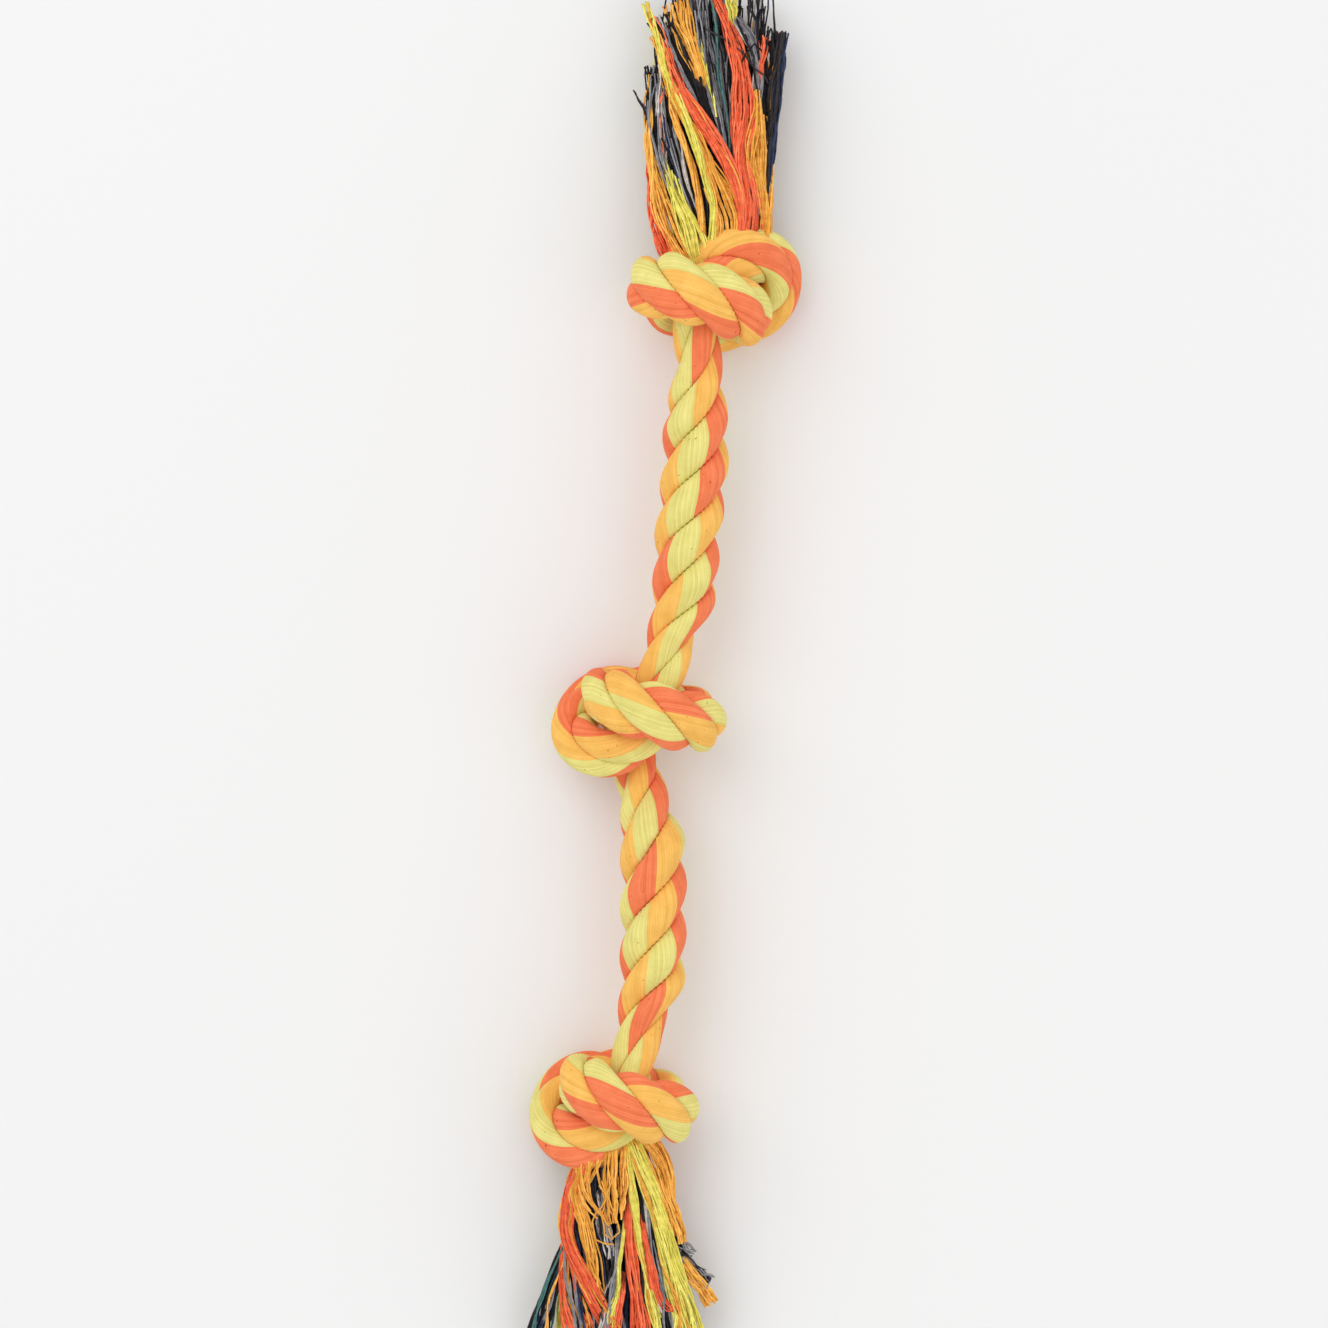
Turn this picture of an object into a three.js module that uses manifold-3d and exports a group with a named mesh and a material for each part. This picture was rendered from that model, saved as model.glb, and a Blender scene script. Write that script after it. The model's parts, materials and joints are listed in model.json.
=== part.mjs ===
// Rope dog toy: a three-strand cotton rope with three overhand knots and a frayed tassel at each end
// Millimetres, +Z up. The toy lies on z = 0 with its length along Y, top knot towards +Y.
import * as THREE from "three";
import Module from "manifold-3d";

const wasm = await Module();
wasm.setup();

// Driving dimensions
const ropeDiameter = 19;
const layLength = 41;
// Share of a turn that the strands have made at the rope's top end
const layStartShare = -0.067;
const strandGap = 0.3;
const knotPassGap = 0.3;
const middleToTopKnot = 121.7;
const middleToBottomKnot = 110.1;
const topKnotOffset = 25.5;
const bottomKnotOffset = -6.8;
const hingeLap = 1.4;
const hingeGap = 0.35;
const hingeFromKnot = 40;
const tasselHingeFromKnot = 27;
const topTasselReach = 87;
const bottomTasselReach = 84;
const tasselHalfThickness = 8.6;
const topTasselHalfWidth = 19;
const bottomTasselHalfWidth = 22;
const topTasselLean = 0.5;
const bottomTasselLean = 4;
const lockGap = 0.5;
const floorClearance = 0.4;

// Sizes that follow the rope: the depth pressed flat on the floor, the rounded end at a bend,
// and what reaches back past a bend to be cut to that end
const footFlat = ropeDiameter / 10;
const hingeRadius = ropeDiameter / 2 + hingeLap;
const ropeReachBack = hingeRadius * 1.6;
const lockReachBack = hingeRadius * 1.15;
const cutterReach = ropeDiameter * 6;
const floorReach = ropeDiameter * 40;

// Strand section, in shares of the rope's radius
const strandCentreShare = 0.39;
const strandRadiusShare = 0.61;
const ringsPerTurn = 12;
const outerPoints = 5;

// Rope route through one knot seen from above, in shares of the rope's diameter, before it is drawn tight
// It enters at the top, turns left along the bottom, up round the left, right behind itself,
// forward round the right, left across the front, then down through the loop and out at the bottom.
const knotRouteShares = [
  [0.73, 2.4, 0],
  [0.73, 1.65, 0],
  [0.73, 0.78, 0],
  [0.68, 0.13, 0],
  [0.43, -0.28, 0.05],
  [0, -0.44, 0.15],
  [-0.49, -0.47, 0.2],
  [-0.93, -0.31, 0.1],
  [-1.12, 0.02, -0.12],
  [-0.98, 0.33, -0.6],
  [-0.55, 0.47, -1],
  [0.02, 0.47, -1.2],
  [0.59, 0.38, -1.1],
  [1.02, 0.2, -0.65],
  [1.13, 0, 0.1],
  [0.93, -0.07, 0.85],
  [0.49, 0, 1.15],
  [0, 0.17, 1.2],
  [-0.37, 0.29, 0.9],
  [-0.44, 0.22, 0.22],
  [-0.27, 0.02, -0.45],
  [-0.07, -0.36, -1],
  [0.1, -1, -0.8],
  [0.15, -1.78, -0.25],
  [0.15, -2.4, 0],
];
const knotSteps = 84;
const settleRounds = 1500;
const tightLengthShare = 14.2;
const turnShare = 1.5;
const bendShare = 0.56;

// Rates of the drawing tight, each round: straightening, return to the route, parting of two passes
// and opening of sharp bends; then the shares of the rounds for tightening, holding and letting go
const straightenRate = 0.03;
const returnRate = 0.05;
const partRate = 0.3;
const openBendRate = 0.4;
const bendReachShare = 0.8;
const tightenShare = 0.5;
const holdShare = 0.9;
const letGoShare = 0.05;
const pressStartShare = 1.15;
const pressEndShare = 2.2;

// Lay of the strands, in shares of the lay length, outside the knots and in the pass across a knot's front,
// with how far from a knot's middle its own lay fades out and how high its front pass lies, in diameters
const outsideLayShare = 1.05;
const frontLayShare = 1.25;
const layFadeShares = [0.75, 1.35];
const frontHeightShares = [0.1, 0.9];

// Each knot: where its rope enters and leaves, how far it is pressed in, and its lay before and after the front
const knots = [
  { name: "top_knot", turned: true, x: topKnotOffset, y: middleToTopKnot,
    enterShare: 0.36, leaveShare: 0.1, pressShares: [0.77, 0.94, 0.56], layShares: [1.789, 1.76] },
  { name: "middle_knot", turned: false, x: 0, y: 0,
    enterShare: 0.83, leaveShare: 0.35, pressShares: [0.775, 0.86, 0.56], layShares: [1.636, 2.223] },
  { name: "bottom_knot", turned: false, x: bottomKnotOffset, y: -middleToBottomKnot,
    enterShare: 0.7, leaveShare: 0.15, pressShares: [0.75, 0.9, 0.56], layShares: [1.687, 2.024] },
];

const smooth = (from, to, value) => {
  const t = Math.min(Math.max((value - from) / (to - from), 0), 1);
  return t * t * (3 - 2 * t);
};

// Smooth curve through hand-chosen points
function throughPoints(points, perSpan) {
  const out = [];
  for (let i = 0; i < points.length - 1; i++) {
    const a = points[Math.max(i - 1, 0)];
    const b = points[i];
    const c = points[i + 1];
    const d = points[Math.min(i + 2, points.length - 1)];
    for (let k = 0; k < perSpan; k++) {
      const t = k / perSpan;
      out.push(b.map((v, q) => 0.5 * (2 * v + (c[q] - a[q]) * t
        + (2 * a[q] - 5 * v + 4 * c[q] - d[q]) * t * t
        + (3 * v - a[q] - 3 * c[q] + d[q]) * t * t * t)));
    }
  }
  out.push(points[points.length - 1].slice());
  return out;
}

const distance = (a, b) => Math.hypot(a[0] - b[0], a[1] - b[1], a[2] - b[2]);

// Even steps along a polyline
function evenSteps(line, steps) {
  const run = [0];
  for (let i = 1; i < line.length; i++) run.push(run[i - 1] + distance(line[i], line[i - 1]));
  const total = run[run.length - 1];
  const out = [];
  let k = 0;
  for (let i = 0; i <= steps; i++) {
    const at = (total * i) / steps;
    while (k < line.length - 2 && run[k + 1] < at) k++;
    const t = Math.min(Math.max((at - run[k]) / (run[k + 1] - run[k]), 0), 1);
    out.push(line[k].map((v, q) => v + (line[k + 1][q] - v) * t));
  }
  return { points: out, step: total / steps };
}

// Draws the knot tight: the rope keeps its length and its thickness while the spare length goes
function drawTight(route) {
  const start = evenSteps(throughPoints(route, 16), knotSteps);
  const p = start.points.map((v) => v.slice());
  const home = start.points;
  const last = knotSteps;
  const longest = start.step * last;
  const push = (a, b, wanted, share) => {
    const gap = distance(p[a], p[b]);
    const move = (0.5 * share * (wanted - gap)) / gap;
    for (let q = 0; q < 3; q++) {
      const d = (p[b][q] - p[a][q]) * move;
      p[a][q] -= d;
      p[b][q] += d;
    }
  };
  for (let round = 0; round < settleRounds; round++) {
    const tight = Math.min(1, round / (tightenShare * settleRounds));
    const hold = round < holdShare * settleRounds ? 1
      : Math.max(0, 1 - (round / settleRounds - holdShare) / letGoShare);
    const step = (longest * (1 - tight) + tightLengthShare * tight) / last;
    const reach = Math.max(2, Math.round((bendReachShare * bendShare) / step));
    const chord = 2 * bendShare * Math.sin(Math.min((reach * step) / 2 / bendShare, Math.PI / 2));
    const bend = p.map((v, i) => (i < 2 || i > last - 2 ? [0, 0, 0]
      : v.map((c, q) => p[i - 2][q] - 4 * p[i - 1][q] + 6 * c - 4 * p[i + 1][q] + p[i + 2][q])));
    p.forEach((v, i) => {
      for (let q = 0; q < 3; q++) v[q] -= straightenRate * bend[i][q];
      for (let q = 0; q < 2; q++) v[q] += returnRate * hold * (home[i][q] - v[q]);
    });
    const moves = p.map(() => [0, 0, 0]);
    for (let a = 0; a <= last; a++) {
      for (let b = a + Math.floor(turnShare / step) + 1; b <= last; b++) {
        const gap = distance(p[a], p[b]);
        if (gap >= 1) continue;
        for (let q = 0; q < 3; q++) {
          const d = ((0.5 * partRate * (1 - gap)) / gap) * (p[b][q] - p[a][q]);
          moves[a][q] -= d;
          moves[b][q] += d;
        }
      }
    }
    p.forEach((v, i) => v.forEach((c, q) => { v[q] = c + moves[i][q]; }));
    for (let a = 0; a + reach <= last; a++) {
      if (distance(p[a], p[a + reach]) < chord) push(a, a + reach, chord, openBendRate);
    }
    for (const first of [0, 1]) {
      for (let a = first; a < last; a += 2) push(a, a + 1, step, 1);
    }
    p[0] = home[0].slice();
    p[1] = [home[0][0], home[0][1] - step, home[0][2]];
    p[last] = home[last].slice();
    p[last - 1] = [home[last][0], home[last][1] + step, home[last][2]];
  }
  return p;
}

// Nearest approach of two passes of the rope in a knot
function nearestPasses(p) {
  let least = Infinity;
  for (let a = 0; a < p.length; a++) {
    for (let b = a + 1; b < p.length; b++) {
      const along = ((b - a) * tightLengthShare) / knotSteps;
      if (along > turnShare * 1.07) least = Math.min(least, distance(p[a], p[b]));
    }
  }
  return Math.min(least, 1);
}

// Presses the drawn knot into the low oval that it has when it lies on the floor
function pressed(knot, v) {
  const away = Math.abs(v[1]);
  const inside = 1 - smooth(pressStartShare, pressEndShare, away);
  const u = Math.min(Math.max((away - pressStartShare) / (pressEndShare - pressStartShare), 0), 1);
  const deep = Math.min(away, pressStartShare)
    + (pressEndShare - pressStartShare) * (u - u * u * u + (u * u * u * u) / 2);
  const [wide, long, high] = knot.pressShares;
  return [
    v[0] * (1 + (wide - 1) * inside),
    Math.sign(v[1]) * (away - (1 - long) * deep),
    v[2] * (1 + (high - 1) * inside),
  ];
}

// Stations along the rope: local point, knot that presses it, radius, lay angle, carried cross axes
const stations = [];
for (const knot of knots) {
  const route = knotRouteShares.map((v, i) => {
    const top = Math.min(Math.max(1 - (i - 1) / 3, 0), 1);
    const low = Math.min(Math.max(1 - (knotRouteShares.length - 2 - i) / 2, 0), 1);
    const enterMove = (knot.enterShare - knotRouteShares[0][0]) * top;
    const leaveMove = (knot.leaveShare - knotRouteShares[knotRouteShares.length - 1][0]) * low;
    return [v[0] + enterMove + leaveMove, v[1], v[2]];
  });
  const tight = drawTight(route);
  knot.nearShare = nearestPasses(tight);
  knot.line = knot.turned ? tight.map((v) => [-v[0], -v[1], v[2]]).reverse() : tight;
}

// Fine line of a knot, softened so that the rope bends evenly
function fineLine(line) {
  let fine = evenSteps(throughPoints(line, 6), knotSteps * 4).points;
  for (let k = 0; k < 12; k++) {
    fine = fine.map((v, i) => (i === 0 || i === fine.length - 1 ? v
      : v.map((c, q) => 0.25 * fine[i - 1][q] + 0.5 * c + 0.25 * fine[i + 1][q])));
  }
  return fine;
}

function addKnotStations(knot) {
  const line = fineLine(knot.line);
  let length = 0;
  for (let i = 1; i < line.length; i++) length += distance(line[i], line[i - 1]);
  const lays = (length * ropeDiameter) / layLength;
  const steps = Math.round((lays / outsideLayShare) * ringsPerTurn);
  const even = evenSteps(line, steps).points;
  const front = even.reduce((best, v, i) => (v[2] > even[best][2] ? i : best), 0);
  even.forEach((v, i) => {
    if (stations.length && i === 0) return;
    const within = 1 - smooth(layFadeShares[0], layFadeShares[1], Math.abs(v[1]));
    const fore = smooth(frontHeightShares[0], frontHeightShares[1], v[2]);
    const own = knot.layShares[i > front ? 1 : 0];
    const lay = own + (frontLayShare - own) * fore;
    const inside = 1 - smooth(pressStartShare, pressEndShare, Math.abs(v[1]));
    const thin = knot.nearShare - knotPassGap / ropeDiameter / knot.pressShares[2];
    stations.push({
      knot,
      local: v,
      radiusShare: 0.5 * (1 + (thin - 1) * inside),
      gapShare: (strandGap / ropeDiameter) * (1 + (1 / knot.pressShares[2] - 1) * inside),
      turn: i === 0 ? 0 : lays / steps / (outsideLayShare + (lay - outsideLayShare) * within),
    });
  });
}

// Where a station's local point lies in the toy, before the toy is set down
function placed(station, v) {
  if (!station.knot) return v.map((c) => c * ropeDiameter);
  const q = pressed(station.knot, v);
  return [
    station.knot.x + q[0] * ropeDiameter,
    station.knot.y + q[1] * ropeDiameter,
    station.knot.rise + q[2] * ropeDiameter,
  ];
}

for (const knot of knots) knot.rise = 0;
const lowest = knots.map((knot) => Math.min(...fineLine(knot.line).map((v) => pressed(knot, v)[2]))
  * ropeDiameter - 0.5 * ropeDiameter * knot.nearShare * knot.pressShares[2]);
knots.forEach((knot, i) => { knot.rise = -lowest[i] - footFlat; });

knots.forEach((knot, index) => {
  if (index > 0) {
    const before = stations[stations.length - 1];
    const from = placed(before, before.local);
    const to = placed({ knot }, knot.line[0]);
    const length = distance(from, to);
    const turns = length / layLength;
    const steps = Math.round(turns * ringsPerTurn);
    for (let i = 1; i <= steps; i++) {
      const t = smooth(0, 1, i / steps);
      stations.push({
        knot: null,
        local: [
          (from[0] + (to[0] - from[0]) * t) / ropeDiameter,
          (from[1] + ((to[1] - from[1]) * i) / steps) / ropeDiameter,
          (from[2] + (to[2] - from[2]) * t) / ropeDiameter,
        ],
        radiusShare: 0.5,
        gapShare: strandGap / ropeDiameter,
        turn: turns / steps,
      });
    }
  }
  addKnotStations(knot);
});

// Directions of the rope and of the cross axes carried along it without twist
stations.forEach((s, i) => {
  const a = stations[Math.max(i - 1, 0)];
  const b = stations[Math.min(i + 1, stations.length - 1)];
  const same = (o) => (o.knot === s.knot ? o.local : null);
  const from = same(a) || s.local;
  const to = same(b) || s.local;
  s.along = new THREE.Vector3(to[0] - from[0], to[1] - from[1], to[2] - from[2]).normalize();
});
let side = new THREE.Vector3(-1, 0, 0);
let angle = 2 * Math.PI * layStartShare;
stations.forEach((s) => {
  side = side.clone().addScaledVector(s.along, -side.dot(s.along)).normalize();
  s.side = side;
  s.up = new THREE.Vector3().crossVectors(s.along, side);
  angle += 2 * Math.PI * s.turn;
  s.angle = angle;
});

// Section of a strand: a rounded third of the rope with a slit of half a gap on each flat side
function strandSection(radius, gap) {
  const half = gap / 2;
  const centre = strandCentreShare * radius;
  const round = strandRadiusShare * radius;
  const outer = (a) => centre * Math.cos(a) + Math.sqrt(round * round - (centre * Math.sin(a)) ** 2);
  const point = (r, a) => [r * Math.cos(a), r * Math.sin(a)];
  const edge = Math.PI / 3;
  const slit = (r, sign) => {
    const a = sign * (edge - Math.asin(Math.min(half / r, 0.9)));
    return point(r, a);
  };
  const inner = Math.max(0.1 * radius, half * 1.2);
  const out = [slit(inner, -1), slit(outer(edge), -1)];
  for (let i = 1; i <= outerPoints; i++) {
    const a = edge * (-1 + (2 * i) / (outerPoints + 1));
    out.push(point(outer(a), a));
  }
  out.push(slit(outer(edge), 1), slit(inner, 1));
  return out;
}

// Closed tube of one solid from rings of points; the last flat side turns its diagonals the other way
function tubeFromRings(rings, mirroredSide) {
  const n = rings[0].length;
  const position = [];
  const index = [];
  rings.forEach((ring) => ring.forEach((v) => position.push(...v)));
  for (let k = 0; k < rings.length - 1; k++) {
    for (let i = 0; i < n; i++) {
      const j = (i + 1) % n;
      const a = k * n + i;
      const b = k * n + j;
      const c = a + n;
      const d = b + n;
      if (i === mirroredSide) index.push(a, b, c, b, d, c);
      else index.push(a, b, d, a, d, c);
    }
  }
  [[0, true], [rings.length - 1, false]].forEach(([k, first]) => {
    const mid = [0, 1, 2].map((q) => rings[k].reduce((sum, v) => sum + v[q], 0) / n);
    const m = position.length / 3;
    position.push(...mid);
    for (let i = 0; i < n; i++) {
      const a = k * n + i;
      const b = k * n + ((i + 1) % n);
      if (first) index.push(m, b, a);
      else index.push(m, a, b);
    }
  });
  return { position, index };
}

function solid({ position, index }) {
  return new wasm.Manifold(new wasm.Mesh({
    numProp: 3,
    vertProperties: new Float32Array(position),
    triVerts: new Uint32Array(index),
  }));
}

function solidOf(geometry) {
  const plain = geometry.index ? geometry : geometry.clone();
  const seen = new Map();
  const position = [];
  const at = plain.getAttribute("position");
  const index = [];
  for (let i = 0; i < plain.index.count; i++) {
    const k = plain.index.getX(i);
    const v = [at.getX(k), at.getY(k), at.getZ(k)];
    const key = v.map((c) => Math.round(c * 1e4)).join(",");
    if (!seen.has(key)) {
      seen.set(key, position.length / 3);
      position.push(...v);
    }
    index.push(seen.get(key));
  }
  const faces = [];
  for (let i = 0; i < index.length; i += 3) {
    const [a, b, c] = index.slice(i, i + 3);
    if (a !== b && b !== c && c !== a) faces.push(a, b, c);
  }
  return solid({ position, index: faces });
}

function strandSolid(first, last, strand) {
  const rings = [];
  for (let i = first; i <= last; i++) {
    const s = stations[i];
    const section = strandSection(s.radiusShare, s.gapShare);
    const turned = s.angle + (strand * 2 * Math.PI) / 3;
    rings.push(section.map(([u, v]) => {
      const a = u * Math.cos(turned) - v * Math.sin(turned);
      const b = u * Math.sin(turned) + v * Math.cos(turned);
      return placed(s, [0, 1, 2].map((q) => s.local[q] + a * s.side.getComponent(q) + b * s.up.getComponent(q)));
    }));
  }
  return solid(tubeFromRings(rings, outerPoints + 2));
}

// Bends: pivots on the rope's middle line, each with a rounded end that turns in a hollow one
const pointAtHeight = (y) => {
  const open = stations.filter((s) => !s.knot || Math.abs(s.local[1]) > pressStartShare);
  let best = open[0];
  let least = Infinity;
  for (const s of open) {
    const at = placed(s, s.local);
    if (Math.abs(at[1] - y) < least) {
      least = Math.abs(at[1] - y);
      best = at;
    }
  }
  return new THREE.Vector3(best[0], y, best[2]);
};
const [topKnot, middleKnot, bottomKnot] = knots;
const bends = {
  top_tassel: { y: topKnot.y + tasselHingeFromKnot, axis: "z", far: 1 },
  top_side: { y: topKnot.y - hingeFromKnot, axis: "x", far: 1 },
  upper_side: { y: middleKnot.y + hingeFromKnot, axis: "z", far: 1 },
  lower_side: { y: middleKnot.y - hingeFromKnot, axis: "z", far: -1 },
  bottom_side: { y: bottomKnot.y + hingeFromKnot, axis: "x", far: -1 },
  bottom_tassel: { y: bottomKnot.y - tasselHingeFromKnot, axis: "z", far: -1 },
};
for (const bend of Object.values(bends)) bend.at = pointAtHeight(bend.y);

// The side of a bend that lies beyond its pivot, with the rounded end that reaches back over it
const drumSides = 32;
function beyond(bend, extra) {
  const box = new THREE.BoxGeometry(cutterReach, cutterReach, cutterReach);
  box.translate(bend.at.x, bend.at.y + (bend.far * cutterReach) / 2, bend.at.z);
  const drum = new THREE.CylinderGeometry(hingeRadius + extra, hingeRadius + extra, cutterReach, drumSides);
  if (bend.axis === "z") drum.rotateX(Math.PI / 2);
  else drum.rotateZ(Math.PI / 2);
  drum.translate(bend.at.x, bend.at.y, bend.at.z);
  return solidOf(box).add(solidOf(drum));
}
for (const bend of Object.values(bends)) {
  bend.child = beyond(bend, 0);
  bend.parent = beyond(bend, hingeGap);
}

const floorBox = new THREE.BoxGeometry(floorReach, floorReach, ropeDiameter);
floorBox.translate(0, 0, -ropeDiameter / 2);
const underFloor = solidOf(floorBox);

const colours = {
  strand_a: "#f2a24a",
  strand_b: "#ea6b45",
  strand_c: "#d5d96a",
  orange: "#f5a94e",
  coral: "#ec6a48",
  lime: "#d9de6e",
  core: "#4a4a52",
};
const group = new THREE.Group();
group.name = "rope_dog_toy";

function addMesh(name, made, colour) {
  const mesh = made.getMesh();
  const geometry = new THREE.BufferGeometry();
  geometry.setAttribute("position", new THREE.BufferAttribute(new Float32Array(mesh.vertProperties), 3));
  geometry.setIndex(new THREE.BufferAttribute(new Uint32Array(mesh.triVerts), 1));
  geometry.computeVertexNormals();
  const part = new THREE.Mesh(geometry, new THREE.MeshStandardMaterial({ color: colour, roughness: 0.95 }));
  part.name = name;
  group.add(part);
}

// Sections of the rope between its bends
const yOf = (i) => placed(stations[i], stations[i].local)[1];
const between = (from, to) => {
  let first = 0;
  let last = stations.length - 1;
  for (let i = 0; i < stations.length; i++) {
    const clear = !stations[i].knot || Math.abs(stations[i].local[1]) > pressStartShare;
    if (clear && yOf(i) > from && i > first && yOf(i) - from < 2 * ropeDiameter) first = i;
    if (clear && yOf(i) < to && i < last && to - yOf(i) < 2 * ropeDiameter) last = i;
  }
  return [first, last];
};
const sections = [
  { name: "top_knot", from: bends.top_tassel.y, to: bends.top_side.y,
    cut: [["parent", bends.top_tassel], ["keep", bends.top_side]] },
  { name: "upper_span", from: bends.top_side.y + ropeReachBack, to: bends.upper_side.y - ropeReachBack,
    cut: [["parent", bends.top_side], ["keep", bends.upper_side]] },
  { name: "middle_knot", from: bends.upper_side.y, to: bends.lower_side.y,
    cut: [["parent", bends.upper_side], ["parent", bends.lower_side]] },
  { name: "lower_span", from: bends.lower_side.y + ropeReachBack, to: bends.bottom_side.y - ropeReachBack,
    cut: [["keep", bends.lower_side], ["parent", bends.bottom_side]] },
  { name: "bottom_knot", from: bends.bottom_side.y + ropeReachBack, to: bends.bottom_tassel.y,
    cut: [["keep", bends.bottom_side], ["parent", bends.bottom_tassel]] },
];
sections[0].to -= ropeReachBack;
for (const section of sections) {
  const [first, last] = between(section.from, section.to);
  ["a", "b", "c"].forEach((letter, strand) => {
    let made = strandSolid(first, last, strand);
    for (const [kind, bend] of section.cut) {
      made = kind === "keep" ? made.intersect(bend.child) : made.subtract(bend.parent);
    }
    made = made.subtract(underFloor);
    addMesh(section.name + "_strand_" + letter, made, colours["strand_" + letter]);
  });
}

// Tassels: nine locks of cover yarn round three locks of core yarn, flattened as they lie
const lockColours = ["orange", "coral", "lime"];
const tassels = [
  { name: "top_tassel", bend: bends.top_tassel, reach: topTasselReach, halfWidth: topTasselHalfWidth,
    lean: topTasselLean,
    trimShares: [0.97, 0.9, 1, 0.94, 1, 0.88, 0.95, 1, 0.92], coreShares: [0.97, 0.9, 1] },
  { name: "bottom_tassel", bend: bends.bottom_tassel, reach: bottomTasselReach,
    halfWidth: bottomTasselHalfWidth, lean: bottomTasselLean,
    trimShares: [1, 0.93, 0.97, 0.9, 1, 0.95, 0.98, 0.9, 1], coreShares: [0.95, 1, 0.92] },
];
const lockStations = 9;
const lockArcSteps = 3;
const coreShareOfSection = 0.5;
const middleShareOfSection = 0.14;

// How a tassel changes along its length: thickness of its root, where it is fully open,
// where it starts to sink and lies flat, the turn of its locks and how its tips narrow
const rootShare = 0.475;
const openShare = 0.75;
const sinkShares = [-0.1, 0.85];
const openTurnShare = 0.1;
const tipShare = 0.8;
const tipSlimShare = 0.28;

function lockSolid(tassel, from, to, inner, outer, lengthShare) {
  const { bend } = tassel;
  const reach = tassel.reach - tasselHingeFromKnot;
  const rings = [];
  for (let k = 0; k <= lockStations; k++) {
    const t = k / lockStations;
    const along = -lockReachBack + (reach * lengthShare + lockReachBack) * t;
    const open = smooth(0, openShare * reach, along);
    const fall = smooth(sinkShares[0] * reach, sinkShares[1] * reach, along);
    const low = tasselHalfThickness + floorClearance;
    const centre = [bend.at.x + tassel.lean * open, bend.at.z + (low - bend.at.z) * fall];
    const base = rootShare * ropeDiameter;
    const half = [base + (tassel.halfWidth - base) * open, base + (tasselHalfThickness - base) * open];
    const twist = bend.far * 2 * Math.PI * openTurnShare * open;
    const slim = 1 - tipSlimShare * smooth(tipShare, 1, t);
    const width = to - from;
    const cell = (r, a) => {
      const slit = Math.min(lockGap / 2 / Math.max(r * half[1], lockGap), width / 4);
      const aa = from + slit + (width - 2 * slit) * a + twist;
      return [r * half[0] * Math.cos(aa), r * half[1] * Math.sin(aa)];
    };
    const gapIn = lockGap / 2 / half[1];
    const rim = [];
    for (let i = 0; i <= lockArcSteps; i++) rim.push(cell(outer - gapIn, i / lockArcSteps));
    if (inner > 0) for (let i = 2; i >= 0; i--) rim.push(cell(inner + gapIn, i / 2));
    else rim.push(cell(middleShareOfSection, 0.5));
    const mid = [0, 1].map((q) => rim.reduce((sum, v) => sum + v[q], 0) / rim.length);
    const ring = rim.map((v) => [
      centre[0] + mid[0] + (v[0] - mid[0]) * slim,
      bend.at.y + bend.far * along,
      centre[1] + mid[1] + (v[1] - mid[1]) * slim,
    ]);
    rings.push(bend.far > 0 ? ring.reverse() : ring);
  }
  return solid(tubeFromRings(rings, -1));
}

for (const tassel of tassels) {
  ["a", "b", "c"].forEach((letter, strand) => {
    lockColours.forEach((colour, i) => {
      const cell = strand * 3 + i;
      const from = (cell * 2 * Math.PI) / 9;
      const made = lockSolid(tassel, from, from + (2 * Math.PI) / 9, coreShareOfSection, 1, tassel.trimShares[cell]);
      addMesh([tassel.name, colour, "lock", letter].join("_"),
        made.intersect(tassel.bend.child).subtract(underFloor), colours[colour]);
    });
    const from = (strand * 2 * Math.PI) / 3;
    const made = lockSolid(tassel, from, from + (2 * Math.PI) / 3, 0, coreShareOfSection, tassel.coreShares[strand]);
    addMesh([tassel.name, "core", "lock", letter].join("_"),
      made.intersect(tassel.bend.child).subtract(underFloor), colours.core);
  });
}

// The toy's box stands centred on the origin
const box = new THREE.Box3().setFromObject(group);
const middle = box.getCenter(new THREE.Vector3());
group.position.set(-middle.x, -middle.y, 0);

export default group;
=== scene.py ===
"""Rope dog toy: three-strand cotton rope in three colours, with three knots and a frayed tassel at each end."""
import json
import logging
import math
from dataclasses import dataclass, field
from enum import Enum

import bpy
import numpy as np
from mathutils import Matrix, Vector


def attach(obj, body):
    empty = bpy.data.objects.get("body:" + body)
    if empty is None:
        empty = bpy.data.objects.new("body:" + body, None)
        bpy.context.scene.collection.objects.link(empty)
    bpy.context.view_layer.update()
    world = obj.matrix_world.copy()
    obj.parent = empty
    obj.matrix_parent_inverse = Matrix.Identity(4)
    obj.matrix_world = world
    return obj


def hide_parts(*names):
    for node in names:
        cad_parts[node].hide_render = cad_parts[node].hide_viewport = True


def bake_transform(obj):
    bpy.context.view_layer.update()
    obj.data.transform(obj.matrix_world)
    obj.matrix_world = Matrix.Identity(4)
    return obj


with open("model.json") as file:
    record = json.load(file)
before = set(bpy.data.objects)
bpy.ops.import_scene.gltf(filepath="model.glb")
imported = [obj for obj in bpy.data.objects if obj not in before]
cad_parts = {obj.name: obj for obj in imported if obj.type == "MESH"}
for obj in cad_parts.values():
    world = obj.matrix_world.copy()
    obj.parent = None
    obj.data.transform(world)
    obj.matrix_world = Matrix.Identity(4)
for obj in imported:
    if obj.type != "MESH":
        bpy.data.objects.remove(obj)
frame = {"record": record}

log = logging.getLogger("rope_toy")
MM = 0.001


class Yarn(Enum):
    """The colours of yarn in the rope."""

    ORANGE = "orange"
    CORAL = "coral"
    LIME = "lime"
    BLACK = "black"
    NAVY = "navy"
    GREY = "grey"
    CREAM = "cream"
    TEAL = "teal"


@dataclass(frozen=True)
class StrandPlan:
    """One strand of the rope, with its colours in order round it.

    Each phase is a place along the rope, in turns of the lay, and how far the colours have turned on the strand
    there, in degrees.
    """

    letter: str
    number: int
    colours: tuple[Yarn, Yarn, Yarn]
    phases: tuple[tuple[float, float], ...]


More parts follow.
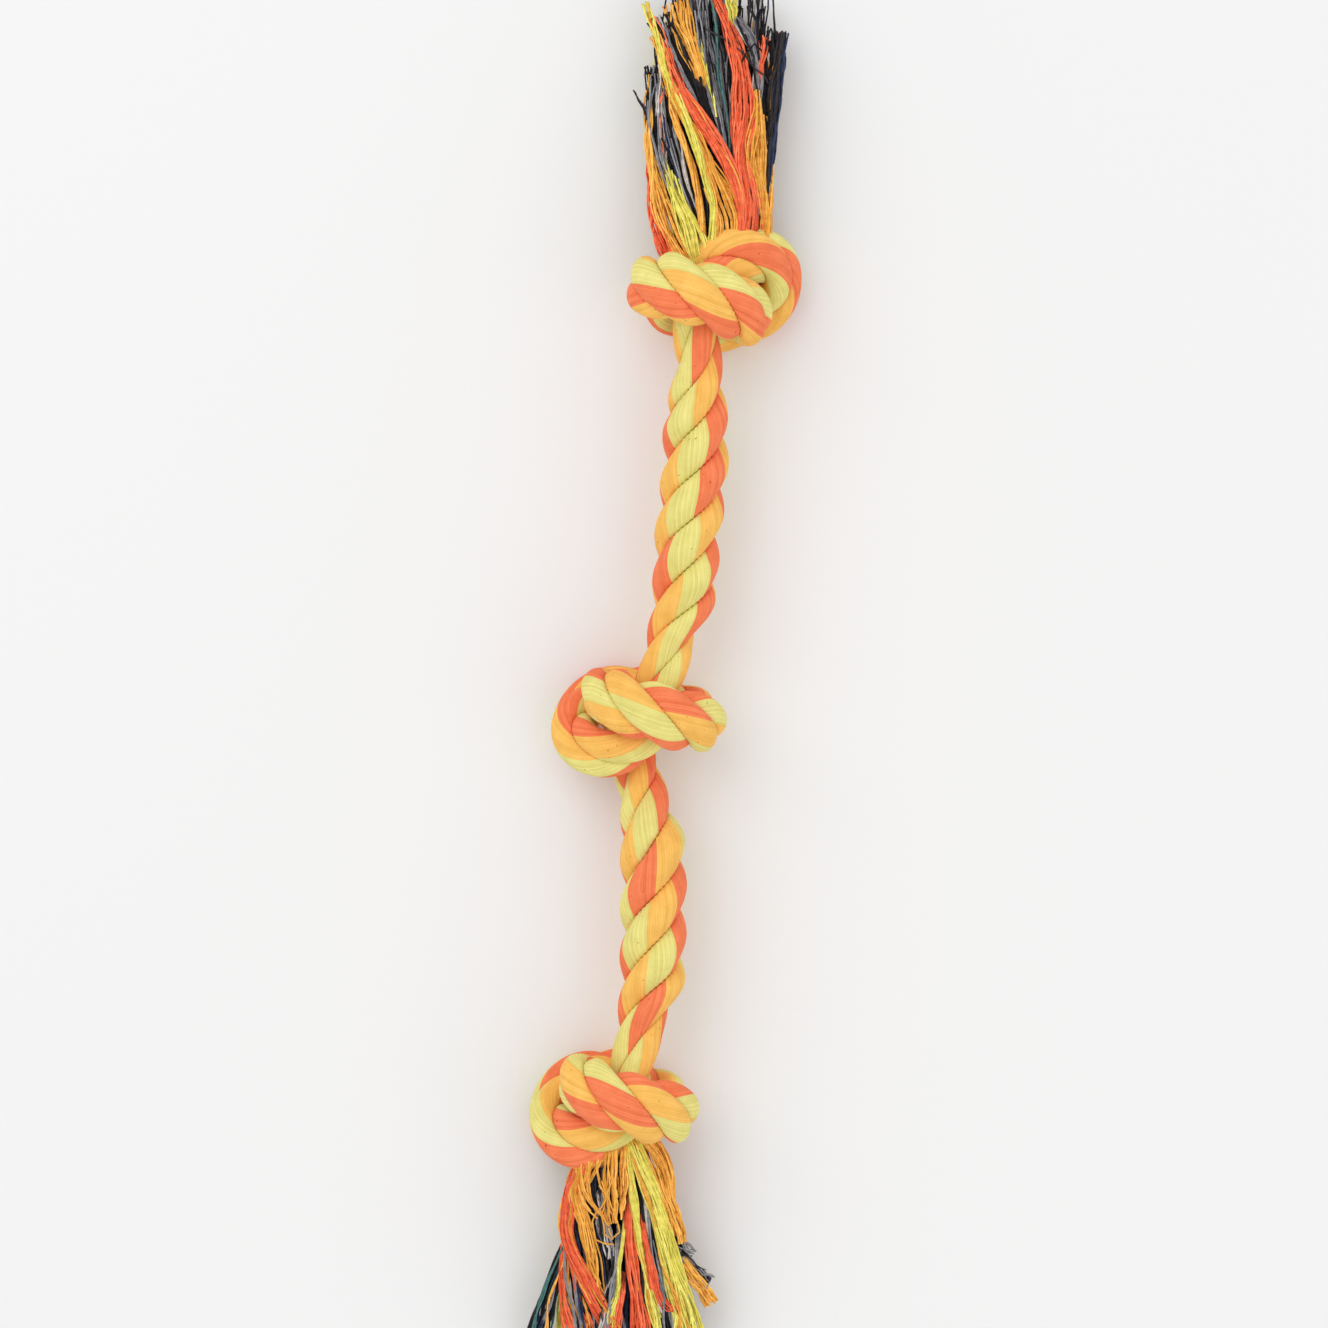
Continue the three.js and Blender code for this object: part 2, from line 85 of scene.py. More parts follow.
STRANDS = (
    StrandPlan("a", 0, (Yarn.CORAL, Yarn.LIME, Yarn.ORANGE), (
        (6.6, 408), (7, 453), (7.4, 447), (8.4, 384), (10, 363), (12, 363), (12.4, 388), (12.8, 388),
        (13.6, 363), (14.2, 325))),
    StrandPlan("b", 1, (Yarn.CORAL, Yarn.LIME, Yarn.ORANGE), (
        (2.4, 334), (3.3, 224), (3.75, 224), (4.15, 334), (6.3, 334), (10, 410), (11.5, 410), (12.2, 445),
        (12.6, 445), (13.6, 410))),
    StrandPlan("c", 2, (Yarn.ORANGE, Yarn.LIME, Yarn.CORAL), (
        (2.2, 150), (3.3, 71), (3.8, 71), (4.15, 174), (6.3, 174), (7.5, 180), (8.6, 55), (9.35, 58),
        (9.8, 190), (14.15, 191), (14.55, 51))),
)


@dataclass(frozen=True)
class LockPlan:
    """One lock of yarn in a tassel.

    Each point of its route holds, in millimetres, the place across and away from the tassel's pivot and the
    lock's width there. The levels are those of its root and its tip, from -1 under the tassel to 1 on top of it.
    The count is of yarns, before the tassel's fineness multiplies it, and the depth is in millimetres.
    """

    yarns: tuple[Yarn, ...]
    count: int
    depth: float
    levels: tuple[float, float]
    route: tuple[tuple[float, float, float], ...]


CORE_MIX = (*[Yarn.BLACK] * 22, *[Yarn.GREY] * 6, *[Yarn.CREAM] * 4, *[Yarn.NAVY] * 3, Yarn.TEAL)
DARK_MIX = (*[Yarn.BLACK] * 11, *[Yarn.NAVY] * 5, Yarn.TEAL, Yarn.GREY, Yarn.ORANGE)
PALE_MIX = (*[Yarn.GREY] * 3, *[Yarn.CREAM] * 2, *[Yarn.BLACK] * 3)
CORAL_MIX = (*[Yarn.CORAL] * 10, *[Yarn.ORANGE] * 3, Yarn.GREY)
LIME_MIX = (*[Yarn.LIME] * 9, *[Yarn.ORANGE] * 2)
TOP_LOCKS = (
    # Orange left
    LockPlan((Yarn.ORANGE,), 13, 2.5, (0.9, 0.75), (
        (-7, -20, 3), (-11, -13, 5), (-14.5, -5, 6), (-16.5, 2.5, 4), (-18, 10.5, 2), (-18.5, 19.5, 1),
        (-18.5, 29, 1), (-18.5, 36.5, 1))),
    # Coral left
    LockPlan((Yarn.CORAL,), 12, 2.5, (0.8, 0.2), (
        (-11, -23.5, 4.5), (-14, -16.5, 5.5), (-17, -9, 3.5), (-18, -2, 1.5), (-18.5, 7, 1), (-18, 18.5, 1))),
    # Lime under the loop
    LockPlan((Yarn.LIME,), 18, 2, (1.1, 0.6), (
        (-4, -20, 8), (-6, -14, 8), (-8, -7.5, 6.5), (-10.5, -2, 4.5), (-12.5, 4, 3), (-14, 9, 1.5),
        (-15.5, 15.5, 1))),
    # Core behind the lime
    LockPlan(CORE_MIX, 40, 6, (0.5, 0.5), (
        (-1, -19.5, 6), (-2.5, -13, 5), (-5.5, -3, 7), (-8.5, 6.5, 8), (-11, 16.5, 7.5),
        (-12.5, 26.5, 5.5), (-14, 37, 5), (-15, 47, 4.5))),
    # Long lime
    LockPlan(LIME_MIX, 12, 1.6, (1.08, 1.1), (
        (-0.5, -13.5, 2.5), (-0.5, -4.5, 2.5), (-2.5, 4, 2.5), (-5, 12.5, 2.5), (-7.5, 19.5, 2.5),
        (-10, 25.5, 2), (-13.5, 35, 2), (-16, 44, 2.5), (-18.5, 51, 2.5), (-20, 57, 3.5))),
    # Orange beside the lime
    LockPlan((Yarn.ORANGE,), 7, 1.6, (0.95, 0.95), (
        (-3, -13.5, 2), (-4, -3.5, 2), (-5.5, 5.5, 2), (-8, 13.5, 1.5), (-11, 22, 1), (-13.5, 30.5, 1),
        (-15.5, 38, 1))),
    # Orange middle
    LockPlan((Yarn.ORANGE,), 20, 2.5, (0.97, 1), (
        (3.5, -15, 8), (3.5, -8, 8.5), (1.5, -2, 8), (-1, 4.5, 5.5), (-3.5, 11, 3.5), (-6.5, 17.5, 2),
        (-10, 24, 1), (-13.5, 32, 1), (-16, 40.5, 1), (-18, 47.5, 1))),
    # Long coral
    LockPlan(CORAL_MIX, 20, 2.2, (1.05, 1), (
        (7.5, -13.5, 2.5), (7.5, -6, 2.5), (6.5, 1, 3.5), (4, 8, 4), (0.5, 14.5, 4), (-3.5, 21, 4),
        (-7.5, 27, 3.5), (-11, 33.5, 2.5), (-14, 40, 1.5), (-16.5, 46.5, 1.5), (-18.5, 52, 1))),
    # Core in the middle
    LockPlan(CORE_MIX, 64, 7, (0.5, 0.7), (
        (3.5, -11, 7), (3, 1, 6), (2.5, 12.5, 7), (0.5, 23.5, 10), (-2, 35, 12.5), (-4, 45, 13.5),
        (-5.5, 55, 14), (-6, 59, 14))),
    # Yellow threads
    LockPlan((Yarn.LIME,), 3, 0.6, (1, 1), (
        (0.5, 21.5, 1), (-1.5, 31.5, 1), (-4, 40.5, 1), (-6, 47.5, 1))),
    # Coral right
    LockPlan((*[Yarn.CORAL] * 12, Yarn.ORANGE), 26, 3, (1, 0.95), (
        (10, -15, 7.5), (10.5, -6, 7), (9.5, 1, 5.5), (8, 8, 3.5), (7.5, 13, 4), (8, 19.5, 7),
        (8, 26.5, 7.5), (7.5, 33.5, 5.5), (6, 40.5, 4), (3.5, 47.5, 3), (1, 53.5, 2.5), (-0.5, 58, 2.5))),
    # Core between the coral
    LockPlan(CORE_MIX, 7, 1, (1.08, 1), (
        (10.5, -12, 4.5), (10.5, -3.5, 4), (9.5, 4, 2.5), (8, 10, 1))),
    # Orange right
    LockPlan((Yarn.ORANGE,), 26, 2.5, (1.05, 1.05), (
        (14, -15, 3), (14.5, -6, 3), (14, 1, 4.5), (12.5, 8, 7), (12.5, 14, 7), (13, 19, 5),
        (12.5, 25, 3), (11, 31.5, 1.5))),
    # Dark bundle right
    LockPlan(DARK_MIX, 40, 6, (0.5, 0.85), (
        (14, -6.5, 2.5), (15, 9.5, 3), (16, 19.5, 4), (16.5, 28, 5), (17.5, 36.5, 5.5), (18, 45, 6.5),
        (18.5, 48.5, 7))),
    # Grey arc
    LockPlan(PALE_MIX, 12, 1.5, (0.9, 1), (
        (10.5, 12.5, 2.5), (12, 23, 2.5), (12, 32, 2.5), (11.5, 39, 3), (9, 45, 3.5), (6.5, 48.5, 3.5),
        (4.5, 51.5, 3))),
    # Coral at the top right
    LockPlan((Yarn.CORAL,), 6, 1.2, (0.95, 0.95), (
        (12.5, 29, 1.5), (13, 38, 1.5), (13.5, 44, 2.5), (14, 47, 2.5))),
    # Core left
    LockPlan(PALE_MIX, 34, 5, (0.5, 0.75), (
        (-9, -6.5, 4), (-12, 2.5, 4), (-14.5, 9.5, 5), (-15.5, 18, 7), (-16, 26.5, 7), (-16, 33.5, 6),
        (-16.5, 39, 5.5))),
    # Coral thread left
    LockPlan((Yarn.CORAL,), 3, 0.6, (0.95, 0.95), (
        (-14, 6, 1), (-15.5, 17.5, 1), (-15.5, 29, 1))),
    # Core upper left
    LockPlan(CORE_MIX, 30, 4, (0.7, 0.8), (
        (-0.5, 12, 3), (-3, 22, 5.5), (-6.5, 30.5, 7.5), (-10, 39, 8), (-13.5, 46.5, 7.5), (-16, 53, 7))),
    # Orange at the top
    LockPlan((Yarn.ORANGE,), 13, 2, (0.97, 1), (
        (-2, 26, 2.5), (-4, 33.5, 3), (-7, 42, 5.5), (-10, 49, 7), (-12, 56.5, 7.5))),
    # Lime at the top
    LockPlan((Yarn.LIME,), 6, 1.5, (0.95, 1), (
        (6, 46.5, 3), (5, 52.5, 4.5), (4.5, 57.5, 5.5))),
    # Stray left
    LockPlan((Yarn.BLACK,), 2, 0.4, (0.95, 1.05), (
        (-12, 8, 0.5), (-16.5, 18.5, 0.5), (-20, 23.5, 0), (-23, 29, 0))),
    # Stray loop
    LockPlan((Yarn.BLACK,), 1, 0.4, (1.1, 1.1), (
        (-2.5, 46.5, 0), (0.5, 45, 0), (4, 43, 0), (8, 39.5, 0), (12, 34.5, 0), (14.5, 31, 0))),
    # Stray hook
    LockPlan((Yarn.BLACK,), 1, 0.4, (1.1, 1.1), (
        (7.5, 37, 0), (9, 40.5, 0), (11.5, 42.5, 0), (14, 41, 0), (15.5, 38, 0))),
    # Stray ends
    LockPlan((Yarn.BLACK,), 2, 0.5, (1.05, 1.1), (
        (12.5, 38, 0.5), (12, 45, 0.5), (11, 51.5, 1), (10, 56.5, 1))),
    # Core heart
    LockPlan(CORE_MIX, 40, 8, (0.05, 0.25), (
        (0, -20, 12), (0, -8, 17), (0, 4, 23), (0, 18, 28), (0, 34, 29), (0.5, 50, 29))),
    # Core below
    LockPlan(CORE_MIX, 70, 9, (-0.9, -0.2), (
        (-1, -20, 16), (-1, -6, 26), (-1, 6.5, 30.5), (-1, 21, 31.5), (-0.5, 38, 33), (0.5, 55, 33),
        (0.5, 59, 33))),
    # Orange below
    LockPlan((Yarn.ORANGE,), 14, 3, (-0.95, -0.85), (
        (5.5, -20, 8.5), (7.5, -6, 10), (9.5, 12.5, 11.5), (10, 32, 11.5), (9.5, 52, 11.5))),
    # Coral below
    LockPlan((Yarn.CORAL,), 14, 3, (-0.95, -0.85), (
        (-1, -20, 8.5), (-1, -6, 10), (-1, 12.5, 11.5), (-1, 32, 11.5), (-1, 52, 11.5))),
    # Lime below
    LockPlan((Yarn.LIME,), 14, 3, (-0.95, -0.85), (
        (-7, -20, 8.5), (-9.5, -6, 10), (-11, 12.5, 11.5), (-12, 32, 11.5), (-12.5, 52, 11.5))),
)
BOTTOM_LOCKS = (
    # Coral left
    LockPlan(CORAL_MIX, 20, 3, (0.95, 0.9), (
        (-6.5, -15.5, 5.5), (-10, -10, 4), (-12, -4.5, 3.5), (-13, 2, 4), (-13, 9, 4), (-11, 15.5, 4),
        (-8, 22, 4.5), (-4.5, 28.5, 4.5), (-0.5, 36, 5), (2, 44.5, 5.5))),
    # Coral lower left
    LockPlan(CORAL_MIX, 17, 3, (0.8, 0.7), (
        (-13.5, 9, 2.5), (-13.5, 17.5, 4), (-13, 24.5, 6), (-11, 33, 8.5), (-9.5, 41.5, 9), (-8.5, 50, 9.5))),
    # Orange lock
    LockPlan((Yarn.ORANGE,), 14, 2, (1, 1.05), (
        (-6, -15.5, 7), (-8.5, -9, 5.5), (-10, -3.5, 4), (-8.5, 3.5, 3.5), (-7, 10.5, 3.5),
        (-5.5, 16.5, 3.5), (-4, 23, 3.5), (-2.5, 28, 2.5))),
    # Orange fringe
    LockPlan((Yarn.ORANGE,), 26, 2.5, (1.05, 1), (
        (-2.5, -15.5, 15.5), (-3, -9.5, 16.5), (-2.5, -4, 14.5), (-1.5, 1, 11), (-0.5, 4.5, 7), (1, 7.5, 4))),
    # Curl one
    LockPlan((Yarn.ORANGE,), 1, 0.4, (1.15, 1.1), (
        (-3, -7, 0), (-2, -2.5, 0), (-4.5, 1.5, 0), (-6, 5, 0), (-4.5, 10, 0), (-2, 11.5, 0), (0, 12, 0))),
    # Curl two
    LockPlan((Yarn.ORANGE,), 1, 0.4, (1.15, 1.1), (
        (-0.5, -7, 0), (-2.5, -1.5, 0), (-3, 3, 0), (-2, 7.5, 0), (0, 10, 0))),
    # Curl three
    LockPlan((Yarn.ORANGE,), 1, 0.4, (1.15, 1.1), (
        (-4, -5.5, 0), (-1, -1, 0), (1, 4, 0), (2, 8, 0), (0, 9, 0), (-1.5, 7, 0))),
    # Core left
    LockPlan(CORE_MIX, 44, 6, (0.45, 0.6), (
        (-6.5, -11, 8.5), (-6.5, -4, 9.5), (-7, 3.5, 11.5), (-6, 10.5, 12.5), (-5.5, 19, 13),
        (-4, 27.5, 14), (-2.5, 36, 15.5), (-2, 45.5, 16), (-2, 53, 16))),
    # Grey middle
    LockPlan(PALE_MIX, 12, 1.5, (0.97, 1), (
        (-5, -4.5, 3.5), (-3, 3.5, 3.5), (-2, 10.5, 4), (-0.5, 17.5, 1.5))),
    # Grey lower
    LockPlan(PALE_MIX, 10, 1.5, (1, 1), (
        (1.5, 6, 1.5), (1.5, 14.5, 2.5), (0, 23, 3), (-2, 31.5, 3), (-3, 40, 3.5))),
    # Yellow threads
    LockPlan((Yarn.LIME,), 4, 0.6, (1.08, 1.05), (
        (3.5, 0.5, 1), (2.5, 10.5, 1), (1.5, 19, 1), (0, 27.5, 1), (-1, 37, 1.5))),
    # Coral middle
    LockPlan(CORAL_MIX, 15, 2, (0.95, 0.95), (
        (4.5, -7, 2.5), (4.5, 2, 3), (4.5, 10.5, 3.5), (5.5, 19, 4), (6.5, 27.5, 4), (7.5, 36, 4.5),
        (8, 46.5, 5))),
    # Coral lower middle
    LockPlan((Yarn.CORAL,), 9, 2, (0.95, 0.9), (
        (2.5, 19.5, 1.5), (1.5, 27.5, 3), (-0.5, 36, 4), (-1.5, 45, 4.5))),
    # Thin lime
    LockPlan(LIME_MIX, 10, 1.5, (1, 1), (
        (4.5, -16.5, 3), (5, -6.5, 2.5), (6, 0.5, 2.5), (7.5, 10.5, 2.5), (9.5, 20, 2.5), (11, 28.5, 2.5),
        (12.5, 37, 2.5), (13, 47.5, 3))),
    # Core middle
    LockPlan(DARK_MIX, 46, 6, (0.55, 0.65), (
        (6.5, -13, 4.5), (7.5, -6.5, 5), (9.5, 0.5, 6), (10.5, 9, 7.5), (12, 17.5, 8), (14, 26, 8.5),
        (15.5, 34.5, 9.5), (16.5, 44.5, 10), (17, 52, 10))),
    # Grey threads
    LockPlan(PALE_MIX, 5, 0.8, (0.97, 1), (
        (7.5, -7, 1.5), (10, 1.5, 2.5), (11, 10.5, 2.5), (12.5, 20, 2.5), (14.5, 30, 3), (15.5, 38.5, 3.5))),
    # Thin coral
    LockPlan((Yarn.CORAL,), 8, 1.2, (1.02, 1.05), (
        (7.5, 0, 1.5), (9, 9, 1.5), (10.5, 16.5, 2), (12, 24, 2.5), (14, 28.5, 2.5), (17, 30, 2.5),
        (20.5, 29, 1.5))),
    # Long lime
    LockPlan(LIME_MIX, 26, 2.5, (1, 1), (
        (6, -17, 4.5), (8, -11, 4.5), (10.5, -4.5, 5), (12.5, 2.5, 5), (14.5, 10, 5), (16, 16.5, 5.5),
        (18, 23, 7), (20, 30, 8), (21.5, 37, 9), (23, 46.5, 9.5))),
    # Orange right
    LockPlan((Yarn.ORANGE,), 26, 3, (0.95, 0.9), (
        (7.5, -19, 5.5), (11, -14.5, 7.5), (13.5, -9, 6), (15, -2.5, 4.5), (17, 3.5, 4.5), (18.5, 9, 3.5),
        (19, 14, 2.5))),
    # Ends right
    LockPlan(PALE_MIX, 9, 1.5, (0.7, 0.7), (
        (16.5, 6, 2.5), (19.5, 12, 2.5), (22, 15, 3), (23.5, 16.5, 3.5))),
    # Ends far right
    LockPlan(CORE_MIX, 12, 2, (0.6, 0.5), (
        (17.5, 10.5, 3), (21.5, 16.5, 3.5), (25.5, 20.5, 4), (30, 23, 4.5))),
    # Ends low right
    LockPlan((Yarn.ORANGE,), 10, 2, (0.6, 0.4), (
        (19, 13.5, 3), (23, 21, 4), (27, 26, 4.5), (30, 30.5, 5))),
    # Ends left
    LockPlan(DARK_MIX, 28, 4, (0.5, 0.3), (
        (-11.5, 7.5, 2.5), (-14.5, 16.5, 4), (-17.5, 24.5, 5), (-19.5, 32.5, 5.5), (-22, 40, 6),
        (-23.5, 46, 7))),
    # Core heart
    LockPlan(CORE_MIX, 44, 8, (0.05, 0.2), (
        (0.5, -18, 12), (1, -7, 18), (2, 4, 26), (3, 16, 30), (3.5, 30, 31), (4, 46, 31))),
    # Core below
    LockPlan(CORE_MIX, 76, 8, (-0.9, -0.2), (
        (-0.5, -15.5, 17), (-0.5, -6.5, 22.5), (0, 3.5, 27), (1.5, 13, 30), (2, 24.5, 31.5), (2, 36, 34),
        (2, 47, 35), (2, 54.5, 35))),
    # Orange below
    LockPlan((Yarn.ORANGE,), 14, 3, (-0.95, -0.85), (
        (7.5, -15.5, 8.5), (10.5, -1, 10), (12, 19, 11.5), (13, 38.5, 12.5), (13, 52, 12.5))),
    # Coral below
    LockPlan((Yarn.CORAL,), 14, 3, (-0.95, -0.85), (
        (-0.5, -15.5, 8.5), (-0.5, -1, 10), (1, 19, 11.5), (1.5, 38.5, 12.5), (1.5, 52, 12.5))),
    # Lime below
    LockPlan((Yarn.LIME,), 14, 3, (-0.95, -0.85), (
        (-6.5, -15.5, 8.5), (-9.5, -1, 10), (-10.5, 19, 11.5), (-11.5, 38.5, 12.5), (-11.5, 51, 12.5))),
)


@dataclass(frozen=True)
class KnotPlan:
    """Where one overhand knot lies, and how its rope enters, leaves and is pressed, in rope diameters."""

    body: str
    turned: bool
    centre: tuple[float, float]
    enter_share: float
    leave_share: float
    press_shares: tuple[float, float, float]
    lay_shares: tuple[float, float]


def smooth(low: float, high: float, value: np.ndarray) -> np.ndarray:
    """Rises smoothly from 0 at low to 1 at high.

    Args:
        low: value where the rise starts.
        high: value where it ends.
        value: one value or an array.

    Returns:
        The share of the rise at each value.
    """
    t = np.clip((value - low) / (high - low), 0, 1)
    return t * t * (3 - 2 * t)


def between(before: np.ndarray, start: np.ndarray, end: np.ndarray, after: np.ndarray,
            share: float | np.ndarray) -> np.ndarray:
    """Gives the point of a smooth curve between two of its points.

    Args:
        before: the point before the start.
        start: where the stretch starts.
        end: where it ends.
        after: the point after the end.
        share: how far along the stretch, from 0 to 1.

    Returns:
        The point, or a row for each share.
    """
    return 0.5 * (2 * start + (end - before) * share + (2 * before - 5 * start + 4 * end - after) * share ** 2
                  + (3 * start - before - 3 * end + after) * share ** 3)


def through_points(points: np.ndarray, per_span: int) -> np.ndarray:
    """Draws a smooth curve through points.

    Args:
        points: rows of x, y, z.
        per_span: steps between two points.

    Returns:
        The curve's points, the last one included.
    """
    padded = np.concatenate([points[:1], points, points[-1:]])
    share = (np.arange(per_span) / per_span)[:, None]
    rows = [between(a, b, c, d, share) for a, b, c, d in zip(padded, padded[1:], padded[2:], padded[3:])]
    return np.concatenate([*rows, points[-1:]])


def run_lengths(line: np.ndarray) -> np.ndarray:
    """Gives the length along a polyline at each of its points."""
    return np.concatenate([[0], np.cumsum(np.linalg.norm(np.diff(line, axis=0), axis=1))])


def even_steps(line: np.ndarray, steps: int) -> np.ndarray:
    """Divides a polyline into steps of one length.

    Args:
        line: rows of x, y, z.
        steps: how many steps.

    Returns:
        steps + 1 points.
    """
    run = run_lengths(line)
    at = np.linspace(0, run[-1], steps + 1)
    return np.stack([np.interp(at, run, line[:, q]) for q in range(3)], axis=1)


def unit(rows: np.ndarray) -> np.ndarray:
    """Scales each row to length 1."""
    return rows / np.linalg.norm(rows, axis=-1, keepdims=True)


def above_floor(heights: np.ndarray, lift: float) -> np.ndarray:
    """Lifts what lies lower than a small height, or under the floor, to lie just on the floor."""
    return np.where(heights < lift, lift * np.exp(heights / lift - 1), heights)


def pivots() -> dict[str, np.ndarray]:
    """Gives each joint's pivot by the joint's name."""
    return {j["name"]: np.array(j["pos_m"]) for j in frame["record"]["behaviour"]["joints"]}


@dataclass
class RopeRoute:
    """The rope's middle line through its three knots, with the turn of its strands along it.

    Shares of length are in rope diameters. A knot's line is drawn tight in rounds: the rope is shortened, its
    passes push each other apart and its bends open, until nothing is tighter than such a rope allows.
    Tighten_until, hold_until and let_go are shares of the rounds: when the rope is short enough, and when its seen
    outline is let go. Smoothing, homing, parting and opening say how much of each fault one round mends.
    """

    diameter: float = 19 * MM
    lay_length: float = 41 * MM
    lay_start_share: float = -0.067
    knot_pass_gap: float = 0.3 * MM
    middle_to_top: float = 121.7 * MM
    middle_to_bottom: float = 110.1 * MM
    top_offset: float = 25.5 * MM
    bottom_offset: float = -6.8 * MM
    hinge_from_knot: float = 40 * MM
    foot_flat_share: float = 0.1
    rings_per_turn: int = 12
    knot_steps: int = 84
    steps_per_point: int = 16
    fine_steps_per_point: int = 6
    fine_factor: int = 4
    soften_rounds: int = 12
    settle_rounds: int = 1500
    tighten_until: float = 0.5
    hold_until: float = 0.9
    let_go: float = 0.05
    smoothing: float = 0.03
    homing: float = 0.05
    parting: float = 0.3
    opening: float = 0.4
    bend_reach: float = 0.8
    tight_length_share: float = 14.2
    turn_share: float = 1.5
    pass_factor: float = 1.07
    bend_share: float = 0.56
    press_start_share: float = 1.15
    press_end_share: float = 2.2
    span_lay_share: float = 1.05
    knot_lay_reach_shares: tuple[float, float] = (0.75, 1.35)
    front_lay_share: float = 1.25
    front_height_shares: tuple[float, float] = (0.1, 0.9)
    front_swell_share: float = 0.17
    home_enter_share: float = 0.73
    home_leave_share: float = 0.15
    enter_points: int = 3
    leave_points: int = 2
    knot_route_shares: tuple[tuple[float, float, float], ...] = (
        (0.73, 2.4, 0), (0.73, 1.65, 0), (0.73, 0.78, 0), (0.68, 0.13, 0), (0.43, -0.28, 0.05),
        (0, -0.44, 0.15), (-0.49, -0.47, 0.2), (-0.93, -0.31, 0.1), (-1.12, 0.02, -0.12), (-0.98, 0.33, -0.6),
        (-0.55, 0.47, -1), (0.02, 0.47, -1.2), (0.59, 0.38, -1.1), (1.02, 0.2, -0.65), (1.13, 0, 0.1),
        (0.93, -0.07, 0.85), (0.49, 0, 1.15), (0, 0.17, 1.2), (-0.37, 0.29, 0.9), (-0.44, 0.22, 0.22),
        (-0.27, 0.02, -0.45), (-0.07, -0.36, -1), (0.1, -1, -0.8), (0.15, -1.78, -0.25), (0.15, -2.4, 0),
    )
    knots: list[KnotPlan] = field(default_factory=list)

    def __post_init__(self) -> None:
        """Draws the three knots tight and joins them by spans of free rope."""
        self.knots = [
            KnotPlan("top_knot", turned=True, centre=(self.top_offset, self.middle_to_top),
                     enter_share=0.36, leave_share=0.1,
                     press_shares=(0.77, 0.94, 0.56), lay_shares=(1.789, 1.76)),
            KnotPlan("middle_knot", turned=False, centre=(0, 0),
                     enter_share=0.83, leave_share=0.35,
                     press_shares=(0.775, 0.86, 0.56), lay_shares=(1.636, 2.223)),
            KnotPlan("bottom_knot", turned=False, centre=(self.bottom_offset, -self.middle_to_bottom),
                     enter_share=0.7, leave_share=0.15,
                     press_shares=(0.75, 0.9, 0.56), lay_shares=(1.687, 2.024)),
        ]
        self.lines = []
        self.near = []
        for knot in self.knots:
            line = self._draw_tight(self._knot_route(knot))
            self.near.append(self._nearest_passes(line))
            self.lines.append((line * [-1, -1, 1])[::-1] if knot.turned else line)
        self.rise = [self._rise(i) for i in range(len(self.knots))]
        self._lay_stations()
        self._carry_axes()
        self._set_down()

    def _knot_route(self, knot: KnotPlan) -> np.ndarray:
        """Gives the listed route with its two ends moved to where this knot's rope enters and leaves.

        Args:
            knot: the knot's plan.

        Returns:
            The route's points, in rope diameters.
        """
        route = np.array(self.knot_route_shares, float)
        i = np.arange(len(route))
        top = np.clip(1 - (i - 1) / self.enter_points, 0, 1)
        low = np.clip(1 - (len(route) - 2 - i) / self.leave_points, 0, 1)
        route[:, 0] += (knot.enter_share - self.home_enter_share) * top
        route[:, 0] += (knot.leave_share - self.home_leave_share) * low
        return route

    def _draw_tight(self, route: np.ndarray) -> np.ndarray:
        """Draws a loose knot tight, while the rope keeps its thickness.

        Args:
            route: the loose knot's points, in rope diameters.

        Returns:
            The tight knot's points.
        """
        last = self.knot_steps
        drawn = through_points(route, self.steps_per_point)
        home = even_steps(drawn, last)
        longest = run_lengths(drawn)[-1]
        p = home.copy()
        first, second = np.triu_indices(last + 1, 1)
        for turn in range(self.settle_rounds):
            tight = min(1, turn / (self.tighten_until * self.settle_rounds))
            late = turn / self.settle_rounds - self.hold_until
            hold = 1 if turn < self.hold_until * self.settle_rounds else max(0, 1 - late / self.let_go)
            step = (longest * (1 - tight) + self.tight_length_share * tight) / last
            reach = max(2, int(self.bend_reach * self.bend_share / step + 0.5))
            chord = 2 * self.bend_share * math.sin(min(reach * step / 2 / self.bend_share, math.pi / 2))
            bend = p[:-4] - 4 * p[1:-3] + 6 * p[2:-2] - 4 * p[3:-1] + p[4:]
            p[2:-2] -= self.smoothing * bend
            p[:, :2] += self.homing * hold * (home[:, :2] - p[:, :2])
            apart = second - first > math.floor(self.turn_share / step)
            a, b = first[apart], second[apart]
            way = p[b] - p[a]
            gap = np.linalg.norm(way, axis=1)
            near = gap < 1
            a, b, way, gap = a[near], b[near], way[near], gap[near]
            shift = (0.5 * self.parting * (1 - gap) / gap)[:, None] * way
            np.subtract.at(p, a, shift)
            np.add.at(p, b, shift)
            p = self._open_bends(p, reach, chord)
            for start in (0, 1):
                a = np.arange(start, last, 2)
                way = p[a + 1] - p[a]
                gap = np.linalg.norm(way, axis=1)
                shift = (0.5 * (step - gap) / gap)[:, None] * way
                p[a] -= shift
                p[a + 1] += shift
            p[0], p[last] = home[0], home[last]
            p[1] = home[0] - [0, step, 0]
            p[last - 1] = home[last] + [0, step, 0]
        return p

    def _open_bends(self, p: np.ndarray, reach: int, chord: float) -> np.ndarray:
        """Opens each bend that is tighter than the rope's least radius, one after another.

        Args:
            p: the line's points.
            reach: how many steps apart the two ends of a bend are measured.
            chord: the least distance between them.

        Returns:
            The mended points.
        """
        rows = p.tolist()
        for a, b in zip(rows, rows[reach:]):
            dx, dy, dz = b[0] - a[0], b[1] - a[1], b[2] - a[2]
            gap = math.sqrt(dx * dx + dy * dy + dz * dz)
            if gap < chord:
                move = 0.5 * self.opening * (chord - gap) / gap
                for q, way in enumerate((dx, dy, dz)):
                    a[q] -= way * move
                    b[q] += way * move
        return np.array(rows)

